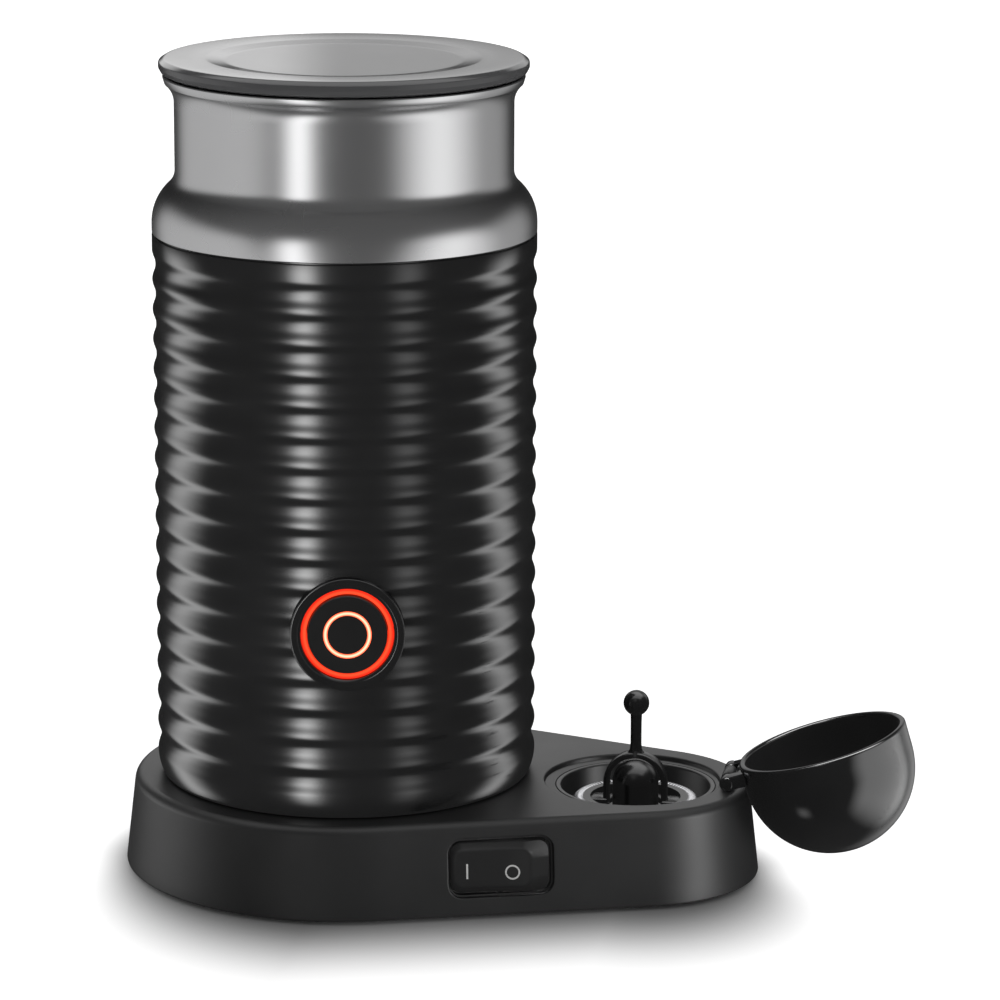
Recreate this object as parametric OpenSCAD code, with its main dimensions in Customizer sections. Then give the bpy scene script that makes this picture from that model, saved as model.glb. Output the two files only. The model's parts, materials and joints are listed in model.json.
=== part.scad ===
// Electric milk frother: a ribbed jug standing on a powered base, with a lidded well for a spare whisk.
// Origin: the jug's axis at table level. +Z up, +X from the jug towards the whisk well, front at -Y.

/* [Jug] */
// Radius over the crests of the sleeve's ribs
jug_r = 41; // [39:0.5:43]
// Depth of the grooves between ribs
rib_depth = 0.7; // [0.3:0.1:1]
// Number of full ribs
rib_count = 17; // [12:1:18]
// Height of one rib
rib_pitch = 6.47; // [5:0.01:6.6]
// Height of the joint between sleeve and steel collar
collar_z = 139.5; // [138:0.5:141]
// Outer radius of the collar's neck
neck_r = 36; // [35.6:0.1:36.4]
// Height of the collar's mouth
mouth_z = 172.9; // [172.5:0.1:174]
// How far the jug is turned on its base, from the front towards the well
jug_turn = 10.8; // [0:0.1:30]
// Inner radius of the milk pot
pot_r = 33.1; // [32.6:0.1:33.4]
// Height of the milk pot's floor, inside
pot_floor_z = 87.2; // [87:0.1:90]

/* [Button] */
// Height of the button's axis
button_z = 61.4; // [58:0.1:64]
// Radius of the round bezel
bezel_r = 12; // [11.5:0.1:12.5]
// Outer radius of the outer light ring
glow_r = 9.7; // [9.4:0.05:9.75]
// Radius of the pressed cap
cap_r = 8.35; // [8:0.05:8.4]
// Distance of the button's face from the jug's axis
face_d = 41.9; // [41.6:0.1:42.4]
// Travel of the cap
press_travel = 0.8; // [0.4:0.1:0.9]

/* [Lid] */
// Radius of the lid
lid_r = 39.2; // [38.8:0.1:40]
// Height of the lid's top face
lid_top_z = 176.5; // [176:0.1:177]

/* [Base] */
// Radius of the base's round end under the jug, at the bottom
base_r = 48.2; // [47:0.1:50]
// Radius of the base's smaller end, at the bottom
end_r = 27.9; // [27:0.1:29]
// Distance between the centres of the two round ends
base_len = 62.6; // [61:0.1:64]
// Height of the base's top face above the table
base_top_z = 20.7; // [20.5:0.1:21.5]
// How far the side walls lean in from bottom to top
base_taper = 2.3; // [1.5:0.1:2.5]
// Radius of the base's rounded top edge
base_edge_r = 2.2; // [1:0.1:2.4]

/* [Whisk well and cover] */
// Distance of the well's centre from the jug's axis
well_x = 63.6; // [63:0.1:64]
// Inner radius of the well
well_r = 16.1; // [15.8:0.1:16.4]
// Distance of the cover's seat from the jug's axis
seat_x = 62.9; // [62.8:0.1:63.1]
// Radius of the sunk seat that takes the cover's rim
seat_r = 19; // [18.9:0.1:19.2]
// Outer radius of the cover
cover_r = 18.5; // [18.2:0.1:18.5]
// Wall thickness of the cover
cover_wall = 1.5; // [1.2:0.1:1.8]
// How far the cover is swung open from closed
cover_open = 163.4; // [150:0.1:164]

/* [Rocker switch] */
// Place of the switch along the front wall
switch_s = 25.8; // [24:0.1:27]
// Height of the switch's centre
switch_z = 11; // [10.6:0.1:11.2]
// Length of the switch opening
switch_w = 22.5; // [21:0.1:23]
// Height of the switch opening
switch_h = 12.6; // [12:0.1:13]
// Angle of the rocker to each side
rocker_tilt = 7; // [4:0.5:8]

/* [Hidden] */
$fn = 96;
cut = 0.5;               // how far a cutting shape runs past the face it cuts
arc_steps = 8;           // straight steps in a rounded corner of a turned outline

// ---- base: places and outline ----
shell_z = 0.8;           // bottom edge of the housing
wall = 2.2;              // housing wall
plate_z = 1.4;           // underside of the bottom plate
plate_t = 1.8;
taper_angle = atan(base_taper / (base_top_z - shell_z));
side_angle = asin((base_r - end_r) / base_len);
side_len = base_len * cos(side_angle);
side_inset = 0.04;
ceiling_z = base_top_z - wall;
screw_spots = [for (q = [45 : 90 : 315]) 26 * [cos(q), sin(q)], [53, 24], [53, -24]];
boss_r = 2.6;
post_r = 9.8;            // connector post
post_top_z = 29.6;
gland_z = 9.5;
gland_hole_r = 3.3;
gland_seat_y = base_r - 1.8;   // flat that the gland's flange bears on

// ---- whisk well ----
seat_z = base_top_z - 1.1;
rim_z = seat_z + 0.2;    // the closed cover's rim
well_floor_z = 12.4;
well_wall = 1.2;
cup_r = well_r + well_wall;
dome_r = 5;              // post in the well, and the dome in the milk pot
dome_z = 20.2;
knuckle_r = 1.55;
pivot = [seat_x - 0.3 + cover_r + 2.9, 0, base_top_z + 1.8];
cover_x = seat_x - 0.3;
skirt_h = 6;
cover_gap = 0.2;
pin_r = 0.8;
rocker_axis_y = 3;
trunnion_r = 0.8;
frame_t = 0.45;
frame_gap = 0.45;

// ---- whisk, in the well's own height ----
coil_r = 12.2;
coil_wire_r = 1.55;
coil_z = 15.6;
arch_r = 6.9;
arch_in_r = 5.7;
arch_z = 20.1;
arm_z = 14.6;
arm_t = 2;
arm_end = 10.2;
knob_r = 2.8;
knob_z = 37.9;
magnet_x = 8.4;
magnet_r = 1.3;
magnet_h = 1.2;

// ---- jug ----
sleeve_z = base_top_z + 0.2;
sleeve_in_r = jug_r - 2.6;
rib_top_z = collar_z - 3.7;
rib_end_z = rib_top_z - rib_count * rib_pitch;
rib_sharpness = 1.4;
collar_t = 0.9;
bottom_z = sleeve_z + 0.7;
bottom_t = 3;
case_screw_turns = [90, 210, 330];   // where the jug's bottom is screwed to the sleeve
case_screw_r = 34.5;
board_post_turns = [30, 150, 270];
board_post_r = 25;
socket_r = 10.6;
socket_roof_z = 30.4;
power_board_z = 30;
pot_t = 0.9;
pot_under_z = pot_floor_z - 1.2;
plate_r = 32.5;          // heater plate
heater_z = pot_under_z - 3;
bracket_z = heater_z - 11;
motor_h = 26;
carrier_top_z = pot_under_z - 1.2;
board_d = 32.6;          // outer face of the control board
stirrer_lift = pot_floor_z - 13;
motor_screw_r = 8;
pot_corner = 7;
shoulder_turn = 48;      // steepest slope of the collar's shoulder, from upright
shoulder_top_r = 4.5;
shoulder_low_r = (jug_r - neck_r) / (1 - cos(shoulder_turn)) - shoulder_top_r;
shoulder_mid_z = 149.4;
flare_turn = 50;
flare_r = 5.5;
flare_z = 167;

// ---------- shared outlines ----------
// Leaning wall, with a rounded top edge where edge isn't 0: [distance, height] points
function wall_points(r, z0, z1, edge) =
  edge == 0 ? [[0, z0], [r, z0], [r - (z1 - z0) * tan(taper_angle), z1], [0, z1]] :
  let (lean = tan(taper_angle), cz = z1 - edge, cr = r - (cz - z0) * lean - edge / cos(taper_angle))
  concat([[0, z0], [r, z0]],
    [for (i = [0 : arc_steps]) let (q = taper_angle + (90 - taper_angle) * i / arc_steps)
      [cr + edge * cos(q), cz + edge * sin(q)]],
    [[0, z1]]);

// Solid of the base's outline: a round end on each side of its straight sides. The sides lie a hair
// inside the ends' tangents, so that they meet the round ends along clean edges.
module base_form(inset, z0, z1, edge) {
  rotate_extrude() polygon(wall_points(base_r - inset, z0, z1, edge));
  translate([base_len, 0, 0]) rotate_extrude() polygon(wall_points(end_r - inset, z0, z1, edge));
  for (side = [0, 1]) mirror([0, side, 0]) rotate([0, 0, 90 - side_angle]) rotate([90, 0, 0])
    linear_extrude(side_len) polygon(wall_points(base_r - inset - side_inset, z0, z1, edge));
}

// The part of the base's outline between two heights, with flat cuts at both
module base_slice(inset, z0, z1) {
  intersection() {
    base_form(inset, shell_z - cut, base_top_z, 0);
    translate([-base_r, -base_r, z0]) cube([2 * base_r + base_len, 2 * base_r, z1 - z0]);
  }
}

module rounded_rect(w, h, r) {
  square([w - 2 * r, h], center = true);
  square([w, h - 2 * r], center = true);
  for (x = [-1, 1], y = [-1, 1]) translate([x * (w / 2 - r), y * (h / 2 - r)]) circle(r);
}

// Frame of the rocker switch: x along the wall, y into the base, z up the leaning wall
module at_switch() {
  d = base_r - (switch_z - shell_z) * tan(taper_angle);
  x = d * sin(side_angle) + switch_s * cos(side_angle);
  y = switch_s * sin(side_angle) - d * cos(side_angle);
  translate([x, y, switch_z]) rotate([0, 0, side_angle]) rotate([-taper_angle, 0, 0]) children();
}

// Block through the wall with rounded corners, from y0 to y1 in the switch's frame
module switch_block(w, h, r, y0, y1) {
  translate([0, y1, 0]) rotate([90, 0, 0]) linear_extrude(y1 - y0) rounded_rect(w, h, r);
}

// Frame of the jug's button: z points out of the sleeve, y up
module at_button() {
  rotate([0, 0, jug_turn]) translate([0, 0, button_z]) rotate([90, 0, 0]) children();
}

module ring(r_out, r_in, z0, z1) {
  translate([0, 0, z0]) difference() {
    cylinder(r = r_out, h = z1 - z0);
    translate([0, 0, -cut]) cylinder(r = r_in, h = z1 - z0 + 2 * cut);
  }
}

// Screw with its head down at z and its shank going up
module screw(head_r, shank_r, z, head_h, shank_h) {
  translate([0, 0, z]) difference() {
    union() {
      cylinder(r = head_r, h = head_h);
      cylinder(r = shank_r, h = head_h + shank_h);
    }
    for (q = [0, 90]) rotate([0, 0, q]) translate([0, 0, head_h / 4 - cut])
      cube([head_r * 1.2, head_r * 0.3, head_h / 2 + 2 * cut], center = true);
  }
}

// ---------- base ----------
module base_housing() {
  color([0.07, 0.07, 0.075]) difference() {
    union() {
      difference() {
        base_form(0, shell_z, base_top_z, base_edge_r);
        base_slice(wall, 0, ceiling_z);
        // sunk seat for the cover, and the hole for the well under it
        translate([seat_x, 0, seat_z]) cylinder(r = seat_r, h = 5);
        translate([well_x, 0, 10]) cylinder(r = cup_r, h = 15);
      }
      // collar that holds the well
      intersection() {
        translate([well_x, 0, 0]) ring(cup_r + 1.8, cup_r, 13, seat_z - 0.4);
        base_slice(wall / 2, 12, base_top_z - 0.3);
      }
      for (p = screw_spots) translate([p[0], p[1], plate_z + plate_t])
        cylinder(r = boss_r, h = ceiling_z - plate_z - plate_t + 0.4);
      hinge_lug();
    }
    translate([0, 0, 10]) cylinder(r = post_r, h = 20);
    for (p = screw_spots) translate([p[0], p[1], 0]) cylinder(r = 1.1, h = 12);
    at_switch() switch_block(switch_w, switch_h, 3, -4, 8);
    // the open cover rests clear of the top edge
    swung_open() cover_bulk(cover_r + cover_gap);
    translate([0, gland_seat_y, gland_z]) rotate([90, 0, 0]) {
      cylinder(r = 5.2, h = 8);
      translate([0, 0, -5]) cylinder(r = 6.5, h = 5);
    }
  }
}

// Ear between the cover's two knuckles
module hinge_lug() {
  difference() {
    translate([pivot[0], 0, pivot[2]]) {
      rotate([90, 0, 0]) cylinder(r = knuckle_r, h = 6, center = true);
      translate([-knuckle_r, -3, -2.6]) cube([2 * knuckle_r, 6, 2.6]);
    }
    translate(pivot) rotate([90, 0, 0]) cylinder(r = pin_r, h = 8, center = true);
  }
}

module base_plate() {
  color([0.1, 0.1, 0.105]) difference() {
    base_slice(wall + 0.3, plate_z, plate_z + plate_t);
    for (p = screw_spots) translate([p[0], p[1], plate_z - cut]) {
      cylinder(r = 1.5, h = plate_t + 2 * cut);
      cylinder(r = 2.4, h = 0.9 + cut);
    }
  }
}

module foot_ring() {
  color([0.16, 0.16, 0.16]) ring(36, 32, 0, plate_z);
}

module foot_pads() {
  color([0.16, 0.16, 0.16]) for (y = [-13, 13]) translate([68, y, 0]) cylinder(r = 4.5, h = plate_z);
}

module base_screws() {
  color([0.7, 0.7, 0.72]) for (p = screw_spots) translate([p[0], p[1], 0]) screw(2.3, 1.1, 1.5, 0.8, 8);
}

module connector_post() {
  color([0.09, 0.09, 0.095]) difference() {
    union() {
      cylinder_from(13, ceiling_z - 1.6, ceiling_z);
      cylinder_from(post_r - 0.05, ceiling_z - 1.6, post_top_z);
    }
    cylinder_from(2.3, 22, post_top_z + cut);
    ring(6.7, 4.9, 22.8, post_top_z + cut);
  }
}

module cylinder_from(r, z0, z1) {
  translate([0, 0, z0]) cylinder(r = r, h = z1 - z0);
}

module connector_contacts() {
  color([0.8, 0.65, 0.3]) {
    cylinder_from(2.3, 22, 23);
    ring(6.7, 4.9, 22.8, 24);
    for (x = [-8, 8]) translate([x - 0.4, -2, ceiling_z - 7.6]) cube([0.8, 4, 6]);
  }
}

module terminal_block() {
  color([0.85, 0.83, 0.78]) difference() {
    translate([-18, 22, plate_z + plate_t]) cube([16, 9, 9]);
    for (x = [-15, -10, -5]) translate([x, 26.5, 8]) cylinder(r = 1.2, h = 8);
  }
}

module cord_gland() {
  color([0.06, 0.06, 0.065]) translate([0, gland_seat_y, gland_z]) rotate([-90, 0, 0]) difference() {
    union() {
      translate([0, 0, -8]) cylinder(r = 5.15, h = 9);
      cylinder(r = 6.4, h = 2.8);
    }
    translate([0, 0, -9]) cylinder(r = gland_hole_r, h = 14);
  }
}

module gland_nut() {
  color([0.06, 0.06, 0.065]) translate([0, gland_seat_y - 3.4, gland_z]) rotate([90, 0, 0]) difference() {
    cylinder(r = 7.2, h = 2, $fn = 6);
    translate([0, 0, -cut]) cylinder(r = 5.2, h = 4);
  }
}

// ---------- rocker switch ----------
module switch_frame() {
  color([0.05, 0.05, 0.055]) at_switch() difference() {
    switch_block(switch_w - 0.1, switch_h - 0.1, 2.95, 1.2, 6);
    switch_block(switch_w - 2 * frame_t, switch_h - 2 * frame_t, 2.5, 0, 7);
    translate([0, rocker_axis_y, 0]) cylinder(r = trunnion_r + 0.1, h = switch_h, center = true);
  }
}

module switch_body() {
  color([0.05, 0.05, 0.055]) at_switch() difference() {
    translate([-switch_w / 2 + 0.6, 6, -switch_h / 2 + 0.6]) cube([switch_w - 1.2, 10, switch_h - 1.2]);
    translate([-8.6, 5, -3.6]) cube([17.2, 6, 7.2]);
  }
}

module switch_terminals() {
  color([0.8, 0.65, 0.3]) at_switch() for (x = [-6, 0.4, 6])
    translate([x - 0.4, 16, -2.4]) cube([0.8, 4.5, 4.8]);
}

// Rocker, upright: a shallow V with a wide bevel at the O end and a narrow one at the I end
module rocker_form() {
  w = switch_w / 2 - frame_t - frame_gap;
  h = switch_h / 2 - frame_t - frame_gap - 0.05;
  back = 4.1;
  intersection() {
    translate([0, 0, -h]) linear_extrude(2 * h)
      polygon([[-w, back], [-w, -1.1], [-w + 0.5, -1.6], [-1.9, -1], [6.7, -2.1], [w, 1], [w, back]]);
    rotate([90, 0, 90]) translate([0, 0, -w]) linear_extrude(2 * w)
      polygon([[back, -h], [0.4, -h], [-1.7, -h + 1.35], [-2.6, -h + 1.7],
        [-2.6, h - 1.7], [-1.7, h - 1.35], [0.4, h], [back, h]]);
    switch_block(2 * w, 2 * h, 2.1, -3, back + 1);
  }
  translate([0, 5, 0]) rotate([90, 0, 0]) cylinder(r = 2, h = 3, center = true);
  translate([0, rocker_axis_y, 0]) cylinder(r = trunnion_r, h = switch_h - 0.4, center = true);
}

module switch_rocker() {
  color([0.08, 0.08, 0.085]) at_switch() translate([0, rocker_axis_y, 0]) rotate([0, 0, -rocker_tilt])
    translate([0, -rocker_axis_y, 0]) rocker_form();
}

// ---------- whisk well ----------
module whisk_well() {
  color([0.05, 0.05, 0.055]) translate([well_x, 0, 0]) difference() {
    union() {
      cylinder_from(cup_r, 14, seat_z);
      cylinder_from(cup_r - 0.8, well_floor_z - 1.6, 14);
    }
    cylinder_from(well_r, well_floor_z + 2, seat_z + cut);
    cylinder_from(well_r - 1, well_floor_z, seat_z);
    cylinder_from(2, 5, 15);
  }
}

module whisk_post() {
  color([0.04, 0.04, 0.045]) translate([well_x, 0, 0]) {
    cylinder_from(dome_r, well_floor_z, dome_z);
    translate([0, 0, dome_z]) sphere(dome_r);
    cylinder_from(6.3, well_floor_z, well_floor_z + 0.6);
    cylinder_from(1.95, well_floor_z - 2.4, well_floor_z);
  }
}

module hinge_pin() {
  color([0.75, 0.75, 0.77]) translate(pivot) rotate([90, 0, 0])
    cylinder(r = pin_r, h = 12.4, center = true);
}

// Half ball on a short skirt, before it is hollowed
module cover_bulk(r) {
  translate([cover_x, 0, rim_z + skirt_h]) sphere(r);
  translate([cover_x, 0, rim_z]) cylinder(r = r, h = skirt_h);
}

// Cover as it sits when closed
module cover_closed() {
  difference() {
    union() {
      cover_bulk(cover_r);
      // arm to the hinge, with a knuckle on each side of the housing's ear
      translate([cover_x + cover_r - 4, -7, pivot[2] - knuckle_r])
        cube([pivot[0] - cover_x - cover_r + 4, 14, 2 * knuckle_r]);
      translate(pivot) rotate([90, 0, 0]) cylinder(r = knuckle_r, h = 14, center = true);
    }
    translate([cover_x, 0, rim_z + skirt_h]) sphere(cover_r - cover_wall);
    translate([cover_x, 0, rim_z - 20]) cylinder(r = cover_r - cover_wall, h = skirt_h + 20);
    translate([cover_x, 0, rim_z - 20]) cylinder(r = cover_r + cut, h = 20);
    translate([pivot[0] - 2, -3.3, pivot[2] - 3]) cube([5, 6.6, 6]);
    translate(pivot) rotate([90, 0, 0]) cylinder(r = pin_r + 0.06, h = 12.8, center = true);
  }
}

// Turns the closed cover open about its hinge
module swung_open() {
  translate(pivot) rotate([0, cover_open, 0]) translate(-pivot) children();
}

module whisk_cover() {
  color([0.03, 0.03, 0.035]) swung_open() cover_closed();
}

// Whisk: knob, stem, arch over the post, crossbar and grooved ring
module whisk_form(groove) {
  translate([0, 0, knob_z]) sphere(knob_r);
  cylinder_from(1.2, arch_z + arch_r - 0.5, knob_z);
  difference() {
    union() {
      intersection() {
        translate([0, 0, arch_z]) rotate([90, 0, 0]) cylinder(r = arch_r, h = 3.6, center = true);
        translate([-20, -20, arch_z]) cube(40);
      }
      translate([-arch_r, -1.8, arm_z]) cube([2 * arch_r, 3.6, arch_z - arm_z]);
      translate([-arm_end, -2.6, arm_z]) cube([2 * arm_end, 5.2, arm_t]);
      cylinder_from(8, arm_z, arm_z + 1.2);
    }
    translate([0, 0, arch_z]) rotate([90, 0, 0]) cylinder(r = arch_in_r, h = 6, center = true);
    cylinder_from(arch_in_r, 10, arch_z);
    for (s = [-1, 1]) translate([s * magnet_x, 0, arm_z - cut]) cylinder(r = magnet_r, h = magnet_h + cut);
  }
  rotate_extrude() difference() {
    translate([9.8, 14.2]) square([1.8, 2.8]);
    if (groove) translate([coil_r, coil_z]) circle(coil_wire_r + 0.05);
  }
}

module magnets_form() {
  for (s = [-1, 1]) translate([s * magnet_x, 0, arm_z]) cylinder(r = magnet_r, h = magnet_h);
}

module whisk_frame() {
  color([0.03, 0.03, 0.035]) translate([well_x, 0, 0]) whisk_form(true);
}

module whisk_coil() {
  color([0.7, 0.7, 0.72]) translate([well_x, 0, 0])
    rotate_extrude() translate([coil_r, coil_z]) circle(coil_wire_r);
}

module whisk_magnets() {
  color([0.6, 0.6, 0.62]) translate([well_x, 0, 0]) magnets_form();
}

module stirrer_frame() {
  color([0.03, 0.03, 0.035]) translate([0, 0, stirrer_lift]) whisk_form(false);
}

module stirrer_magnets() {
  color([0.6, 0.6, 0.62]) translate([0, 0, stirrer_lift]) magnets_form();
}

// ---------- jug shell ----------
module at_case_screws() {
  for (q = case_screw_turns) rotate([0, 0, q]) translate([case_screw_r, 0, 0]) children();
}

// Outer radius of the sleeve: narrow crests, broader grooves, drawn in below the last rib
function sleeve_radius(z) = z < rib_end_z
  ? jug_r - 1.25 * pow((rib_end_z - z) / (rib_end_z - sleeve_z), 2)
  : z > rib_top_z ? jug_r
  : jug_r - rib_depth * (1 - pow((1 + cos(360 * (z - rib_end_z) / rib_pitch)) / 2, rib_sharpness));

module jug_sleeve() {
  per_rib = 8;
  low = [for (i = [0 : 4]) sleeve_z + (rib_end_z - sleeve_z) * i / 5];
  high = [for (i = [0 : rib_count * per_rib]) rib_end_z + i * rib_pitch / per_rib];
  heights = concat(low, high, [collar_z]);
  color([0.04, 0.04, 0.045]) difference() {
    union() {
      rotate_extrude() polygon(concat([[sleeve_in_r, sleeve_z]],
        [for (z = heights) [sleeve_radius(z), z]], [[sleeve_in_r, collar_z]]));
      intersection() {
        at_case_screws() cylinder_from(3.2, bottom_z + bottom_t, bottom_z + bottom_t + 14);
        cylinder_from(sleeve_in_r + 0.6, sleeve_z, collar_z);
      }
      at_case_screws() translate([1, -1, bottom_z + bottom_t]) cube([3.2, 2, 14]);
    }
    at_case_screws() cylinder_from(1.1, bottom_z, bottom_z + 12);
    at_button() cylinder(r = bezel_r, h = 60);
  }
}

// Collar's outer outline, from its lower lip over the shoulder and neck to the flared mouth, thinned by t
function collar_points(t) = concat(
  [[jug_r - t, collar_z]],
  [for (i = [0 : 8]) let (q = shoulder_turn * i / 8)
    [jug_r - shoulder_low_r + (shoulder_low_r - t) * cos(q),
     shoulder_mid_z - shoulder_low_r * sin(shoulder_turn) + (shoulder_low_r - t) * sin(q)]],
  [for (i = [7 : -1 : 0]) let (q = shoulder_turn * i / 8)
    [neck_r + shoulder_top_r - (shoulder_top_r + t) * cos(q),
     shoulder_mid_z + shoulder_top_r * sin(shoulder_turn) - (shoulder_top_r + t) * sin(q)]],
  [for (i = [0 : 7]) let (q = flare_turn * i / 7)
    [neck_r + flare_r - (flare_r + t) * cos(q), flare_z + (flare_r + t) * sin(q)]],
  [[neck_r + flare_r * (1 - cos(flare_turn)) + 0.5 - t, mouth_z]]);

module jug_collar() {
  outer = collar_points(0);
  inner = collar_points(collar_t);
  color([0.62, 0.62, 0.63]) rotate_extrude()
    polygon(concat(outer, [for (i = [len(inner) - 1 : -1 : 0]) inner[i]]));
}

module collar_seal() {
  color([0.2, 0.2, 0.2]) ring(jug_r - collar_t - 0.05, sleeve_in_r, collar_z, collar_z + 2);
}

// Pot: outline of its outer face (t = 0) or inner face (t = pot_t), from the floor to the flared rim
function pot_points(t) = let (r = pot_r + pot_t, drop = pot_corner - t * 4 / 3) concat(
  [for (i = [0 : 8]) let (q = 90 * i / 8)
    [r - pot_corner + (pot_corner - t) * sin(q), pot_under_z + pot_corner - drop * cos(q)]],
  [for (i = [0 : 7]) let (q = 45 * i / 7, f = flare_r + 1.5)
    [r + f - (f + t) * cos(q), flare_z + (f + t) * sin(q)]]);

module milk_pot() {
  outer = pot_points(0);
  inner = pot_points(pot_t);
  color([0.3, 0.3, 0.31]) {
    difference() {
      rotate_extrude() polygon(concat([[0, pot_under_z]], outer,
        [for (i = [len(inner) - 1 : -1 : 0]) inner[i]], [[0, pot_floor_z]]));
      translate([0, 0, pot_under_z - cut]) cylinder(r = dome_r - 1, h = 1);
    }
    cylinder_from(dome_r, pot_floor_z - 0.2, dome_z + stirrer_lift);
    translate([0, 0, dome_z + stirrer_lift]) sphere(dome_r);
  }
}

module pot_gasket() {
  color([0.2, 0.2, 0.2]) ring(neck_r - collar_t, pot_r + pot_t, 158, 163);
}

// ---------- jug bottom and power ----------
module jug_bottom() {
  color([0.05, 0.05, 0.055]) difference() {
    union() {
      cylinder_from(sleeve_in_r - 0.05, bottom_z, bottom_z + bottom_t);
      for (q = board_post_turns) rotate([0, 0, q]) translate([board_post_r, 0, 0])
        cylinder_from(2.5, bottom_z, power_board_z);
    }
    cylinder_from(socket_r + 1.6, bottom_z - cut, bottom_z + bottom_t + cut);
    at_case_screws() {
      cylinder_from(1.5, bottom_z - cut, bottom_z + 5);
      cylinder_from(2.4, bottom_z - cut, bottom_z + 1.4);
    }
  }
}

module bottom_screws() {
  color([0.7, 0.7, 0.72]) at_case_screws() screw(2.3, 1.1, bottom_z + 0.2, 1.2, 9);
}

module jug_socket() {
  color([0.09, 0.09, 0.095]) difference() {
    union() {
      cylinder_from(socket_r + 1.55, bottom_z, socket_roof_z + 1.6);
      cylinder_from(socket_r + 3.4, bottom_z + bottom_t, bottom_z + bottom_t + 1.2);
    }
    cylinder_from(socket_r, bottom_z - cut, socket_roof_z);
  }
}

module socket_pins() {
  color([0.8, 0.65, 0.3]) {
    cylinder_from(1.6, 23.1, socket_roof_z);
    ring(6.1, 5.5, 24.1, socket_roof_z);
  }
}

module power_board() {
  color([0.1, 0.35, 0.2]) ring(29, 14.5, power_board_z, power_board_z + 1.6);
}

module power_parts() {
  color([0.15, 0.15, 0.16]) {
    for (q = [60, 240]) rotate([0, 0, q]) translate([16, -7, power_board_z + 1.6]) cube([9, 14, 11]);
    for (q = [0, 120, 180, 300]) rotate([0, 0, q]) translate([21, 0, power_board_z + 1.6])
      cylinder(r = 3.6, h = 9);
  }
}

// ---------- heater and drive ----------
module heater_plate() {
  color([0.7, 0.7, 0.71]) ring(plate_r, 16.5, heater_z, pot_under_z);
}

module heater_element() {
  color([0.45, 0.45, 0.46]) rotate([0, 0, 120]) {
    rotate_extrude(angle = 300) translate([24, heater_z - 3]) circle(3);
    for (q = [4, 296]) rotate([0, 0, q]) translate([24, 0, heater_z - 8.5]) cylinder(r = 1.4, h = 5.5);
  }
}

module thermal_cutout() {
  color([0.8, 0.78, 0.72]) rotate([0, 0, 90]) translate([24, 0, heater_z - 6]) cylinder(r = 5, h = 6);
}

module temperature_probe() {
  color([0.8, 0.8, 0.82]) translate([18.7, 0, heater_z - 7]) cylinder(r = 1.8, h = 7);
}

module motor() {
  color([0.66, 0.66, 0.68]) difference() {
    union() {
      cylinder_from(12, bracket_z - motor_h, bracket_z);
      cylinder_from(3.4, bracket_z, bracket_z + 1.4);
      for (x = [-5, 5]) translate([x - 0.4, -1.5, bracket_z - motor_h - 3]) cube([0.8, 3, 3.5]);
    }
    cylinder_from(1.06, bracket_z - 12, bracket_z + 3);
    for (y = [-1, 1]) translate([0, y * motor_screw_r, bracket_z - 6]) cylinder(r = 1.1, h = 8);
  }
}

module motor_bracket() {
  color([0.72, 0.72, 0.73]) difference() {
    union() {
      cylinder_from(15, bracket_z, bracket_z + 2);
      for (q = [45, 165, 285]) rotate([0, 0, q]) {
        translate([8, -4, bracket_z]) cube([21.8, 8, 2]);
        translate([29.8, 0, bracket_z]) cylinder(r = 2.4, h = heater_z - bracket_z);
      }
    }
    cylinder_from(3.5, bracket_z - cut, bracket_z + 3);
    for (y = [-1, 1]) translate([0, y * motor_screw_r, bracket_z - cut]) cylinder(r = 1.3, h = 4);
  }
}

module motor_screws() {
  head_top = bracket_z + 3.2;
  color([0.7, 0.7, 0.72]) for (y = [-1, 1]) translate([0, y * motor_screw_r, head_top])
    mirror([0, 0, 1]) screw(2.2, 1.1, 0, 1.2, 6);
}

module drive_shaft() {
  color([0.8, 0.8, 0.82]) cylinder_from(1, bracket_z - 11, carrier_top_z - 3.4);
}

module drive_carrier() {
  color([0.85, 0.85, 0.83]) difference() {
    union() {
      cylinder_from(14, carrier_top_z - 5.2, carrier_top_z);
      cylinder_from(3.4, bracket_z + 2.6, carrier_top_z - 5);
    }
    cylinder_from(1, bracket_z, carrier_top_z - 3.4);
    for (q = [0 : 90 : 270]) rotate([0, 0, q]) translate([magnet_x, 0, 0])
      cylinder_from(3.2, carrier_top_z - 3, carrier_top_z + 2);
  }
}

module drive_magnets() {
  color([0.6, 0.6, 0.62]) for (q = [0 : 90 : 270]) rotate([0, 0, q]) translate([magnet_x, 0, 0])
    cylinder_from(3.2, carrier_top_z - 3, carrier_top_z);
}

// ---------- button ----------
module button_bezel() {
  color([0.03, 0.03, 0.035]) at_button() difference() {
    union() {
      cylinder_from(bezel_r, 34.4, face_d);
      cylinder_from(bezel_r + 1.2, 34.4, 35.8);
    }
    cylinder_from(glow_r + 0.1, 30, 50);
  }
}

module button_light_ring() {
  color([1, 0.25, 0.1]) at_button() ring(glow_r, cap_r + 0.2, 34.2, face_d - 1);
}

module button_cap() {
  color([0.03, 0.03, 0.035]) at_button() difference() {
    union() {
      cylinder_from(cap_r, face_d - 3, face_d - 0.1);
      cylinder_from(2, board_d + 5.4, face_d - 3);
    }
    ring(5.05, 4.15, face_d - 1.6, face_d + cut);
  }
}

module button_inner_ring() {
  color([1, 0.85, 0.75]) at_button() ring(5.05, 4.15, face_d - 1.6, face_d - 0.1);
}

module control_board() {
  color([0.1, 0.35, 0.2]) at_button() translate([-14, -18, board_d - 1.6]) cube([28, 27, 1.6]);
}

module tact_switch() {
  color([0.12, 0.12, 0.12]) at_button() {
    translate([-3, -3, board_d]) cube([6, 6, 3.5]);
    cylinder_from(1.6, board_d + 3.5, board_d + 4.4);
  }
}

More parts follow.
